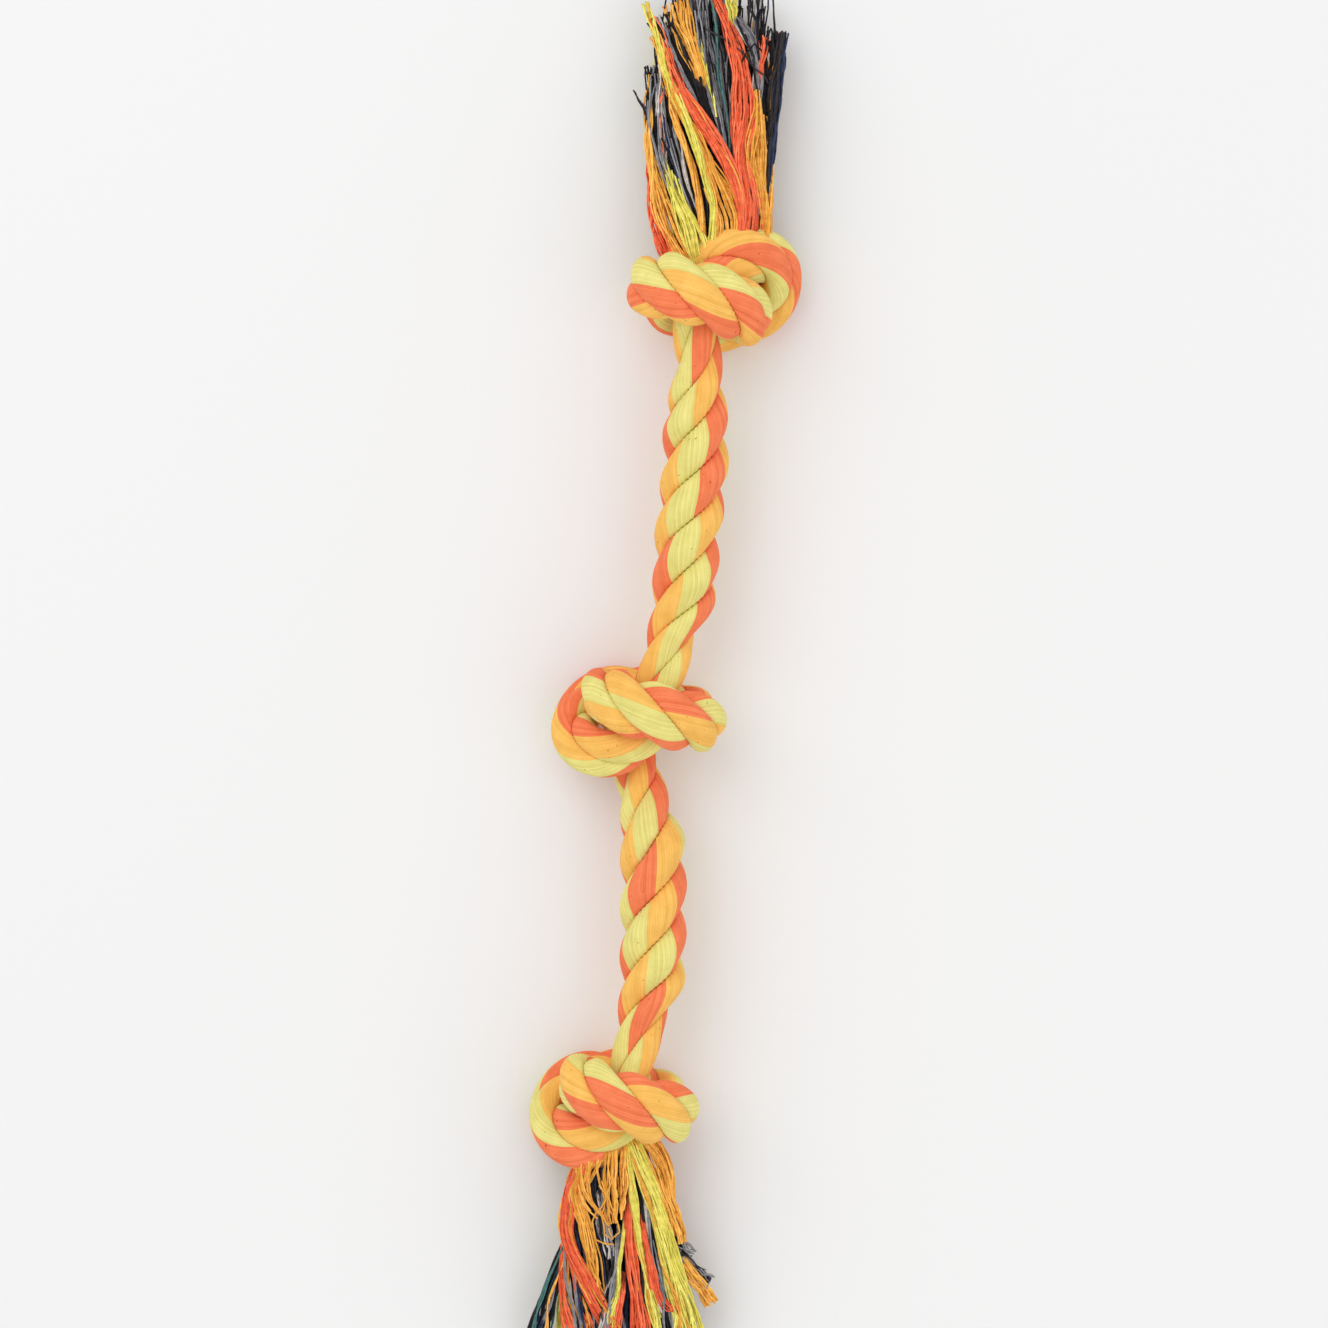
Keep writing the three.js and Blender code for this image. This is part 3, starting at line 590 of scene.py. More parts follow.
    def _nearest_passes(self, p: np.ndarray) -> float:
        """Gives the least distance between two passes of the rope in a knot, in rope diameters.

        Args:
            p: the drawn knot's points.

        Returns:
            The distance, at most 1.
        """
        first, second = np.triu_indices(len(p), 1)
        along = (second - first) * self.tight_length_share / self.knot_steps
        apart = along > self.turn_share * self.pass_factor
        gaps = np.linalg.norm(p[first[apart]] - p[second[apart]], axis=1)
        return min(float(gaps.min()), 1)

    def _fine(self, line: np.ndarray) -> np.ndarray:
        """Gives a finer, softened copy of a knot's line.

        Args:
            line: the drawn knot's points.

        Returns:
            The finer points.
        """
        fine = even_steps(through_points(line, self.fine_steps_per_point), self.knot_steps * self.fine_factor)
        for _ in range(self.soften_rounds):
            fine[1:-1] = 0.25 * fine[:-2] + 0.5 * fine[1:-1] + 0.25 * fine[2:]
        return fine

    def press(self, knot: int, points: np.ndarray) -> np.ndarray:
        """Presses points of a drawn knot into the low oval that it has on the floor.

        Args:
            knot: the knot's number.
            points: rows in rope diameters from the knot's middle.

        Returns:
            The pressed points, in rope diameters.
        """
        wide, long, high = self.knots[knot].press_shares
        start, end = self.press_start_share, self.press_end_share
        away = np.abs(points[..., 1])
        inside = 1 - smooth(start, end, away)
        u = np.clip((away - start) / (end - start), 0, 1)
        deep = np.minimum(away, start) + (end - start) * (u - u ** 3 + u ** 4 / 2)
        return np.stack([
            points[..., 0] * (1 + (wide - 1) * inside),
            np.sign(points[..., 1]) * (away - (1 - long) * deep),
            points[..., 2] * (1 + (high - 1) * inside),
        ], axis=-1)

    def _rise(self, knot: int) -> float:
        """Gives how high a knot's middle lies, so that its lowest pass is pressed flat by the floor.

        Args:
            knot: the knot's number.

        Returns:
            The height in metres.
        """
        high = self.knots[knot].press_shares[2]
        low = self.press(knot, self._fine(self.lines[knot]))[:, 2].min()
        return -(low - 0.5 * self.near[knot] * high + self.foot_flat_share) * self.diameter

    def place(self, block: int, points: np.ndarray) -> np.ndarray:
        """Gives where local points of a block lie in the toy.

        Args:
            block: the knot's number, or -1 for a span of free rope.
            points: rows in rope diameters.

        Returns:
            Rows in metres, before the toy is set down in its frame.
        """
        if block < 0:
            return points * self.diameter
        x, y = self.knots[block].centre
        return self.press(block, points) * self.diameter + [x, y, self.rise[block]]

    def _lay_stations(self) -> None:
        """Lays stations along the rope: block, local point, radius and turn of the strands at each."""
        block, local, radius, turn = [], [], [], []
        for k, line in enumerate(self.lines):
            if k:
                start = self.place(block[-1], local[-1])
                end = self.place(k, line[0])
                turns = float(np.linalg.norm(end - start)) / self.lay_length
                steps = int(turns * self.rings_per_turn + 0.5)
                for i in range(1, steps + 1):
                    share = float(smooth(0, 1, i / steps))
                    way = np.array([share, i / steps, share])
                    block.append(-1)
                    local.append((start + (end - start) * way) / self.diameter)
                    radius.append(0.5)
                    turn.append(turns / steps)
            fine = self._fine(line)
            length = run_lengths(fine)[-1] * self.diameter
            steps = int(length / (self.lay_length * self.span_lay_share) * self.rings_per_turn + 0.5)
            thin = self.near[k] - self.knot_pass_gap / self.diameter / self.knots[k].press_shares[2]
            points = even_steps(fine, steps)
            front = int(np.argmax(points[:, 2]))
            for i, point in enumerate(points):
                if k and i == 0:
                    continue
                inside = 1 - float(smooth(self.press_start_share, self.press_end_share, abs(point[1])))
                within = 1 - float(smooth(*self.knot_lay_reach_shares, abs(point[1])))
                fore = float(smooth(*self.front_height_shares, point[2]))
                lay = self.knots[k].lay_shares[i > front]
                lay += (self.front_lay_share - lay) * fore
                lay = self.span_lay_share + (lay - self.span_lay_share) * within
                block.append(k)
                local.append(point)
                radius.append(0.5 * (1 + (thin - 1) * inside) * (1 + self.front_swell_share * inside * fore))
                turn.append(length / steps / (self.lay_length * lay) if i else 0)
        self.block = np.array(block)
        self.local = np.array(local)
        self.radius = np.array(radius)
        self.angle = 2 * np.pi * (self.lay_start_share + np.cumsum(turn))

    def _carry_axes(self) -> None:
        """Carries a cross axis along the rope without twist."""
        side = np.array([-1.0, 0, 0])
        sides = []
        count = len(self.block)
        for i in range(count):
            a, b = max(i - 1, 0), min(i + 1, count - 1)
            start = self.local[a if self.block[a] == self.block[i] else i]
            end = self.local[b if self.block[b] == self.block[i] else i]
            along = unit(end - start)
            side = unit(side - along * np.dot(side, along))
            sides.append(side)
        self.side = np.array(sides)

    def _in_block(self, index: int, block: int) -> np.ndarray:
        """Gives a station's point in another block's local space, past the reach of any pressing.

        Args:
            index: the station's number, which may lie just past an end.
            block: the other block's number.

        Returns:
            The point in rope diameters.
        """
        index = min(max(index, 0), len(self.block) - 1)
        if self.block[index] == block:
            return self.local[index]
        at = self.place(self.block[index], self.local[index])
        if block < 0:
            return at / self.diameter
        line = self.lines[block]
        end = min((line[0], line[-1]), key=lambda e: np.linalg.norm(self.place(block, e) - at))
        return end + (at - self.place(block, end)) / self.diameter

    def _set_down(self) -> None:
        """Finds the step from the rope's own space to the frame, from the pivot above the middle knot."""
        pivot = pivots()["upper_span_sweep"]
        centres = np.array([self.place(b, p) for b, p in zip(self.block, self.local)])
        clear = (self.block < 0) | (np.abs(self.local[:, 1]) > self.press_start_share)
        nearest = centres[clear][np.argmin(np.abs(centres[clear][:, 1] - self.hinge_from_knot))]
        self.shift = pivot - [nearest[0], self.hinge_from_knot, nearest[2]]
        self.shift[2] = 0


@dataclass
class RopeRings:
    """Rings of points across the rope, finer than its stations, each ready to carry the strands' skins."""

    route: RopeRoute
    per_station: int = 3

    def __post_init__(self) -> None:
        """Interpolates the stations."""
        route = self.route
        count = len(route.block)
        block, local, side, up, radius, angle = [], [], [], [], [], []
        for i in range(count - 1):
            own = int(route.block[i + 1])
            a, b, c, d = (route._in_block(k, own) for k in (i - 1, i, i + 1, i + 2))
            for k in range(self.per_station):
                t = k / self.per_station
                point = between(a, b, c, d, t)
                along = unit(0.5 * ((c - a) + 2 * (2 * a - 5 * b + 4 * c - d) * t
                                    + 3 * (3 * b - a - 3 * c + d) * t ** 2))
                mixed = route.side[i] * (1 - t) + route.side[i + 1] * t
                mixed = unit(mixed - along * np.dot(mixed, along))
                block.append(own)
                local.append(point)
                side.append(mixed)
                up.append(np.cross(along, mixed))
                radius.append(route.radius[i] * (1 - t) + route.radius[i + 1] * t)
                angle.append(route.angle[i] * (1 - t) + route.angle[i + 1] * t)
        self.block, self.local = np.array(block), np.array(local)
        self.side, self.up = np.array(side), np.array(up)
        self.radius, self.angle = np.array(radius), np.array(angle)
        self.centre = np.array([route.place(b, p) for b, p in zip(self.block, self.local)]) + route.shift
        self.run = run_lengths(self.centre)

    def nearest(self, y: float) -> int:
        """Finds the ring outside the knots that is nearest to a place along the toy.

        Args:
            y: the place along the toy, in the frame.

        Returns:
            The ring's number.
        """
        clear = (self.block < 0) | (np.abs(self.local[:, 1]) > self.route.press_start_share)
        far = np.where(clear, np.abs(self.centre[:, 1] - y), np.inf)
        return int(np.argmin(far))


@dataclass
class StrandSkin:
    """One strand's skin of cover yarns, as rows of points round the strand at each ring of the rope.

    The yarns run along the rope on the strand's round outside and turn under on its two flat insides. They stand
    out of it by yarn_height, sink a share of that between two yarns, and go flat where the cover turns under.
    """

    rings: RopeRings
    plan: StrandPlan
    centre_share: float = 0.39
    core_share: float = 0.1
    cover_turn: float = math.radians(132)
    yarns: int = 36
    columns_per_yarn: int = 4
    yarn_height: float = 0.06 * MM
    yarn_wander: float = 0.03 * MM
    twist_ratio: float = 2.155
    strand_gap: float = 0.12 * MM
    flat_lift: float = 0.8 * MM
    yarn_sink_share: float = 0.6
    relief_end_shares: tuple[float, float] = (0.72, 0.98)
    wander_waves: tuple[float, ...] = (0.6, 1.3, 2.9)
    wander_most: float = 2.2
    seed: int = 100

    def rows(self) -> np.ndarray:
        """Gives the skin's points, ring by ring, in the toy's frame.

        Returns:
            Rings, points and coordinates, in metres.
        """
        rings, route = self.rings, self.rings.route
        columns = self.yarns * self.columns_per_yarn
        material = 2 * np.pi * np.arange(columns) / columns
        turned = rings.angle - rings.angle[0]
        turns, phases = np.array(self.plan.phases).T
        phase = np.radians(np.interp(turned / (2 * np.pi), turns, phases))
        around = material[None, :] - (self.twist_ratio * turned + phase)[:, None]
        around = (around + np.pi) % (2 * np.pi) - np.pi
        reach, away = self._section(around)
        reach = rings.radius[:, None] * reach
        middle = self.centre_share * rings.radius[:, None]
        cu, cv = reach * np.cos(away) - middle, reach * np.sin(away)
        grow = 1 + self._relief(around) / route.diameter / np.hypot(cu, cv)
        cu, cv = cu * grow + middle, cv * grow
        w = (rings.angle + self.plan.number * 2 * np.pi / 3)[:, None]
        u = cu * np.cos(w) - cv * np.sin(w)
        v = cu * np.sin(w) + cv * np.cos(w)
        local = (rings.local[:, None, :] + u[..., None] * rings.side[:, None, :]
                 + v[..., None] * rings.up[:, None, :])
        out = np.empty_like(local)
        for block in np.unique(rings.block):
            pick = rings.block == block
            out[pick] = route.place(int(block), local[pick])
        out += route.shift
        out[..., 2] = above_floor(out[..., 2], self.flat_lift)
        return out

    def _section(self, around: np.ndarray) -> tuple[np.ndarray, np.ndarray]:
        """Gives the strand's bare section.

        Args:
            around: turn round the strand from its outermost line, from -pi to pi.

        Returns:
            Distance from the rope's middle, as a share of the rope's radius, and angle about it.
        """
        size = np.abs(around)
        half_gap = self.strand_gap / self.rings.route.diameter
        edge = math.pi / 3
        corner = self._outer(edge)
        under = np.clip((size - self.cover_turn) / (math.pi - self.cover_turn), 0, 1)
        inner = corner + (self.core_share - corner) * under
        widest = edge - np.arcsin(half_gap / inner)
        outside = np.minimum(size / self.cover_turn, 1) * widest
        reach = np.where(size < self.cover_turn, self._outer(outside), inner)
        return reach, np.sign(around) * np.where(size < self.cover_turn, outside, widest)

    def _outer(self, angle: float | np.ndarray) -> float | np.ndarray:
        """Gives the strand's outer edge from the rope's middle, as a share of the rope's radius.

        Args:
            angle: angle about the rope's middle, from the strand's outermost line.

        Returns:
            The distance at each angle.
        """
        round_share = 1 - self.centre_share
        return self.centre_share * np.cos(angle) + np.sqrt(
            round_share ** 2 - (self.centre_share * np.sin(angle)) ** 2)

    def _relief(self, around: np.ndarray) -> np.ndarray:
        """Gives how far the yarns stand out of the bare section, in metres.

        Args:
            around: turn round the strand from its outermost line, from -pi to pi.

        Returns:
            The height at each point.
        """
        columns = np.arange(around.shape[1])
        rounded = np.abs(np.sin(np.pi * columns / self.columns_per_yarn)) - self.yarn_sink_share
        start, end = self.relief_end_shares
        outside = 1 - smooth(self.cover_turn * start, self.cover_turn * end, np.abs(around))
        return outside * (self.yarn_height * rounded[None, :] + self.yarn_wander * self._wander())

    def _wander(self) -> np.ndarray:
        """Gives how far each yarn stands out of the strand along its length, from -1 to 1.

        Returns:
            The share at each ring and column.
        """
        draw = np.random.default_rng(self.seed + self.plan.number)
        turned = self.rings.angle[:, None]
        wave = np.zeros((len(self.rings.angle), self.yarns))
        for scale in self.wander_waves:
            wave += np.sin(scale * turned + draw.uniform(0, 2 * np.pi, self.yarns)[None, :]) / self.wander_most
        return np.repeat(wave, self.columns_per_yarn, axis=1)


def support_rings(rows: np.ndarray, share: float = 0.04) -> np.ndarray:
    """Adds a ring just inside each end, so that the shading of an end doesn't spread along the tube.

    Args:
        rows: the rings, or a value for each.
        share: how far in the new ring lies, as a share of the first step.

    Returns:
        The rows with two more.
    """
    second = rows[0] * (1 - share) + rows[1] * share
    before_last = rows[-1] * (1 - share) + rows[-2] * share
    return np.concatenate([rows[:1], second[None], rows[1:-1], before_last[None], rows[-1:]])


def tube_mesh(name: str, rows: np.ndarray, run: np.ndarray) -> bpy.types.Mesh:
    """Makes a closed tube from rings of points, with a map of turn and length on it.

    Args:
        name: the mesh's name.
        rows: rings, points and coordinates, in metres.
        run: the length along the tube at each ring, in metres.

    Returns:
        The mesh, with its faces pointing out.
    """
    rows, run = support_rings(rows), support_rings(run)
    rings, columns, _ = rows.shape
    points = np.concatenate([rows.reshape(-1, 3), rows[:1].mean(axis=1), rows[-1:].mean(axis=1)])
    k, j = np.meshgrid(np.arange(rings - 1), np.arange(columns), indexing="ij")
    right = (j + 1) % columns
    quads = np.stack([k * columns + j, k * columns + right, (k + 1) * columns + right, (k + 1) * columns + j],
                     axis=-1).reshape(-1, 4)
    around = np.arange(columns)
    beside = (around + 1) % columns
    first, last = rings * columns, rings * columns + 1
    base = (rings - 1) * columns
    fans = np.concatenate([
        np.stack([np.full(columns, first), beside, around], axis=1),
        np.stack([np.full(columns, last), base + around, base + beside], axis=1),
    ])
    mesh = bpy.data.meshes.new(name)
    mesh.vertices.add(len(points))
    mesh.vertices.foreach_set("co", points.astype(np.float32).ravel())
    corners = np.concatenate([quads.ravel(), fans.ravel()])
    starts = np.concatenate([np.arange(len(quads)) * 4, len(quads) * 4 + np.arange(len(fans)) * 3])
    mesh.loops.add(len(corners))
    mesh.loops.foreach_set("vertex_index", corners.astype(np.int32))
    mesh.polygons.add(len(starts))
    mesh.polygons.foreach_set("loop_start", starts.astype(np.int32))
    turn = np.stack([j, j + 1, j + 1, j], axis=-1).reshape(-1) / columns
    length = run[np.stack([k, k, k + 1, k + 1], axis=-1).reshape(-1)]
    flat = np.zeros((len(fans) * 3, 2))
    uv = mesh.uv_layers.new(name="yarn_map")
    places = np.concatenate([np.stack([turn, length], axis=1), flat])
    uv.data.foreach_set("uv", places.astype(np.float32).ravel())
    sharp = np.concatenate([np.zeros(len(quads), bool), np.ones(len(fans), bool)])
    mesh.update(calc_edges=True)
    mesh.attributes.new("sharp_face", "BOOLEAN", "FACE").data.foreach_set("value", sharp)
    mesh.validate()
    return mesh


def add_object(name: str, mesh: bpy.types.Mesh) -> bpy.types.Object:
    """Links a mesh to the scene as a new object at the origin.

    Args:
        name: the object's name.
        mesh: its mesh.

    Returns:
        The object.
    """
    made = bpy.data.objects.new(name, mesh)
    bpy.context.scene.collection.objects.link(made)
    return made


def add_node(tree: bpy.types.NodeTree, kind: str, inputs: dict | None = None,
             **settings: object) -> bpy.types.Node:
    """Adds a node to a tree.

    Args:
        tree: a material's or a geometry's tree.
        kind: the node's type name.
        inputs: what goes into it, by the input's name or number: another node's output, or a value.
        settings: properties to set on it.

    Returns:
        The node.
    """
    node = tree.nodes.new(kind)
    for key, value in settings.items():
        setattr(node, key, value)
    for key, value in (inputs or {}).items():
        feed(tree, node.inputs[key], value)
    return node


def feed(tree: bpy.types.NodeTree, target: bpy.types.NodeSocket, value: object) -> None:
    """Joins another node's output to an input, or sets the input to a value.

    Args:
        tree: the tree of both nodes.
        target: the input.
        value: the output, or a number, colour or name.
    """
    if isinstance(value, bpy.types.NodeSocket):
        tree.links.new(value, target)
    else:
        target.default_value = value


@dataclass
class NodeSheet:
    """A material's node tree, with short ways to add and join nodes."""

    name: str

    def __post_init__(self) -> None:
        """Makes the material with its shader and output."""
        self.material = bpy.data.materials.new(self.name)
        self.material.use_nodes = True
        self.tree = self.material.node_tree
        self.shader = self.tree.nodes["Principled BSDF"]

    def add(self, kind: str, inputs: dict | None = None, **settings: object) -> bpy.types.Node:
        """Adds a shader node, whose type name is given without its ShaderNode prefix."""
        return add_node(self.tree, "ShaderNode" + kind, inputs, **settings)

    def maths(self, operation: str, *values: object) -> bpy.types.NodeSocket:
        """Adds a Math node with numbers or sockets, in order, and gives its result."""
        return self.add("Math", dict(enumerate(values)), operation=operation).outputs[0]

    def noise(self, place: bpy.types.NodeSocket, scale: float, detail: float = 2) -> bpy.types.NodeSocket:
        """Gives a cloudy value, from 0 to 1 and mostly near 0.5, at a place."""
        return self.add("TexNoise", {"Vector": place, "Scale": scale, "Detail": detail}).outputs["Fac"]

    def stretched(self, x: bpy.types.NodeSocket, y: bpy.types.NodeSocket,
                  factors: tuple[float, float]) -> bpy.types.NodeSocket:
        """Joins two numbers, each times its factor, into a place."""
        return self.add("CombineXYZ", {
            "X": self.maths("MULTIPLY", x, factors[0]), "Y": self.maths("MULTIPLY", y, factors[1])}).outputs[0]

    def varied(self, value: bpy.types.NodeSocket, depth: float, middle: float = 1) -> bpy.types.NodeSocket:
        """Gives a factor that a value from 0 to 1 moves by a depth about its middle."""
        return self.maths("MULTIPLY_ADD", value, depth, middle - depth / 2)

    def yarn_map(self) -> tuple[bpy.types.NodeSocket, bpy.types.NodeSocket]:
        """Gives the turn round the yarn or strand, from 0 to 1, and the length along it in metres."""
        split = self.add("SeparateXYZ", {0: self.add("UVMap", uv_map="yarn_map").outputs["UV"]})
        return split.outputs["X"], split.outputs["Y"]

    def plies(self, around: bpy.types.NodeSocket, along: bpy.types.NodeSocket,
              pitch: float) -> bpy.types.NodeSocket:
        """Gives a wave that winds along: one for each step of 1 around, and for each pitch along."""
        steps = self.maths("ADD", around, self.maths("DIVIDE", along, pitch))
        return self.maths("SINE", self.maths("MULTIPLY", 2 * math.pi, steps))

    def dress(self, finish: "StrandFinish | YarnFinish", colour: object, tone: bpy.types.NodeSocket,
              height: bpy.types.NodeSocket) -> bpy.types.Material:
        """Sets the shader's inputs.

        Args:
            finish: the finish, for its roughness, sheen, gamma and bump.
            colour: the colour, or a socket that gives it. It is deeper where the tone is low.
            tone: how light each place is, 1 for the colour as it is.
            height: the bump's height, as a share of the finish's bump height.

        Returns:
            The material.
        """
        gamma = self.maths("MULTIPLY_ADD", tone, -finish.shade_gamma, 1 + finish.shade_gamma)
        deep = self.add("Gamma", {"Color": colour, "Gamma": gamma})
        base = self.add("VectorMath", {0: deep.outputs["Color"], "Scale": tone}, operation="SCALE")
        bump = self.add("Bump", {
            "Distance": finish.bump_height, "Strength": finish.bump_strength, "Height": height})
        for key, value in {
            "Base Color": base.outputs[0], "Roughness": finish.roughness, "Sheen Weight": finish.sheen,
            "Specular IOR Level": finish.specular, "Normal": bump.outputs["Normal"],
        }.items():
            feed(self.tree, self.shader.inputs[key], value)
        return self.material


def linear(colour: tuple[int, int, int]) -> tuple[float, float, float, float]:
    """Turns a screen colour of 0 to 255 into the linear colour that a shader takes."""
    shares = [c / 255 for c in colour]
    return (*[s / 12.92 if s <= 0.04045 else ((s + 0.055) / 1.055) ** 2.4 for s in shares], 1.0)


YARN_COLOURS = {
    Yarn.ORANGE: (255, 199, 104),
    Yarn.CORAL: (252, 137, 92),
    Yarn.LIME: (240, 229, 140),
}
LOOSE_COLOURS = {
    Yarn.ORANGE: (255, 184, 78),
    Yarn.CORAL: (253, 112, 70),
    Yarn.LIME: (243, 230, 104),
    Yarn.BLACK: (42, 38, 40),
    Yarn.NAVY: (46, 56, 86),
    Yarn.GREY: (142, 141, 146),
    Yarn.CREAM: (214, 206, 198),
    Yarn.TEAL: (60, 104, 100),
}


@dataclass(frozen=True)
class StrandFinish:
    """The matte cover of a strand: fine yarns side by side, in three colours, a third of the strand each.

    A stretch is how fast a noise changes from yarn to yarn and from metre to metre along them. The seam values
    paint shade into the grooves between the yarns.
    """

    yarns: int
    colours: tuple[Yarn, Yarn, Yarn]
    tone_spread: float = 0.12
    # Painted shade in the grooves between yarns: how much darker it is there, and how narrow.
    seam_shade_depth: float = 0.08
    seam_shade_power: float = 3.0
    streak_depth: float = 0.15
    streak_middle: float = 1.02
    streak_detail: float = 3
    streak_stretch: tuple[float, float] = (1.3, 110)
    cloud_depth: float = 0.24
    cloud_detail: float = 4
    cloud_scale: float = 260
    fleck_scale: float = 900
    fleck_range: tuple[float, float] = (0.7, 0.78)
    fleck_tone: float = 0.55
    shade_gamma: float = 0.9
    ply_pitch: float = 2.4 * MM
    ply_depth: float = 0.2
    fibre_stretch: tuple[float, float] = (6, 900)
    bump_height: float = 0.1 * MM
    bump_strength: float = 0.6
    roughness: float = 0.92
    sheen: float = 0.06
    specular: float = 0.15

    def make(self) -> bpy.types.Material:
        """Builds the material.

        Returns:
            The material.
        """
        sheet = NodeSheet("strand_cover")
        turn, along = sheet.yarn_map()
        position = sheet.maths("MULTIPLY", turn, float(self.yarns))
        fibre = sheet.noise(sheet.stretched(position, along, self.fibre_stretch), 1)
        height = sheet.maths("MULTIPLY_ADD", sheet.plies(position, along, self.ply_pitch), self.ply_depth, fibre)
        return sheet.dress(self, self._bands(sheet, position), self._tone(sheet, position, along), height)

    def _bands(self, sheet: NodeSheet, position: bpy.types.NodeSocket) -> bpy.types.NodeSocket:
        """Gives each yarn its colour.

        Args:
            sheet: the material's nodes.
            position: the place round the strand, in yarns.

        Returns:
            The colour.
        """
        middle = sheet.maths("ADD", sheet.maths("FLOOR", position), 0.5)
        ramp = sheet.add("ValToRGB", {0: sheet.maths("DIVIDE", middle, float(self.yarns))})
        ramp.color_ramp.interpolation = "CONSTANT"
        points = ramp.color_ramp.elements
        points.new(2 / 3)
        for k, (point, colour) in enumerate(zip(points, self.colours)):
            point.position = k / 3
            point.color = linear(YARN_COLOURS[colour])
        return ramp.outputs["Color"]

    def _tone(self, sheet: NodeSheet, position: bpy.types.NodeSocket,
              along: bpy.types.NodeSocket) -> bpy.types.NodeSocket:
        """Gives how light each place is: by yarn, with painted shade between yarns, streaky, cloudy, with a few
        specks.

        Args:
            sheet: the material's nodes.
            position: the place round the strand, in yarns.
            along: the length along the strand, in metres.

        Returns:
            The tone, 1 for the colour as it is.
        """
        chance = sheet.add("TexWhiteNoise", {"W": sheet.maths("FLOOR", position)}, noise_dimensions="1D")
        # Painted shade: darker towards each yarn's edges, where the grooves between the yarns lie.
        off = sheet.maths("ABSOLUTE", sheet.maths("SUBTRACT", sheet.maths("FRACT", position), 0.5))
        seam_shade = sheet.maths("POWER", sheet.maths("MULTIPLY", off, 2), self.seam_shade_power)
        streak = sheet.noise(sheet.stretched(position, along, self.streak_stretch), 1, self.streak_detail)
        place = sheet.add("TexCoord").outputs["Object"]
        cloud = sheet.noise(place, self.cloud_scale, self.cloud_detail)
        start, end = self.fleck_range
        fleck = sheet.add("MapRange", {"Value": sheet.noise(place, self.fleck_scale), "From Min": start,
                                       "From Max": end, "To Min": 1, "To Max": self.fleck_tone})
        tone = sheet.maths("MULTIPLY_ADD", chance.outputs["Value"], self.tone_spread, 1 - self.tone_spread)
        # The first factor is the painted shade between yarns; the others are the yarn's own streaks, clouds and
        # specks.
        for factor in (sheet.maths("MULTIPLY_ADD", seam_shade, -self.seam_shade_depth, 1),
                       sheet.varied(streak, self.streak_depth, self.streak_middle),
                       sheet.varied(cloud, self.cloud_depth),
                       fleck.outputs["Result"]):
            tone = sheet.maths("MULTIPLY", tone, factor)
        return tone


@dataclass(frozen=True)
class YarnFinish:
    """The matte look of loose yarns of one colour, each yarn lighter or darker by its own tone."""

    yarn: Yarn
    tone_spread: float = 0.36
    lightest: float = 1.22
    cloud_depth: float = 0.3
    cloud_detail: float = 3
    cloud_scale: float = 420
    shade_gamma: float = 0.9
    ply_count: float = 2
    ply_pitch: float = 2.6 * MM
    bump_height: float = 0.12 * MM
    bump_strength: float = 0.6
    roughness: float = 0.9
    sheen: float = 0.06
    specular: float = 0.15

    def make(self) -> bpy.types.Material:
        """Builds the material.

        Returns:
            The material.
        """
        sheet = NodeSheet(f"loose_yarn_{self.yarn.value}")
        own = sheet.add("Attribute", attribute_name="tone").outputs["Fac"]
        own = sheet.maths("MULTIPLY_ADD", own, self.tone_spread, self.lightest - self.tone_spread)
        cloud = sheet.noise(sheet.add("TexCoord").outputs["Object"], self.cloud_scale, self.cloud_detail)
        tone = sheet.maths("MULTIPLY", own, sheet.varied(cloud, self.cloud_depth))
        turn, along = sheet.yarn_map()
        height = sheet.plies(sheet.maths("MULTIPLY", turn, self.ply_count), along, self.ply_pitch)
        return sheet.dress(self, linear(LOOSE_COLOURS[self.yarn]), tone, height)


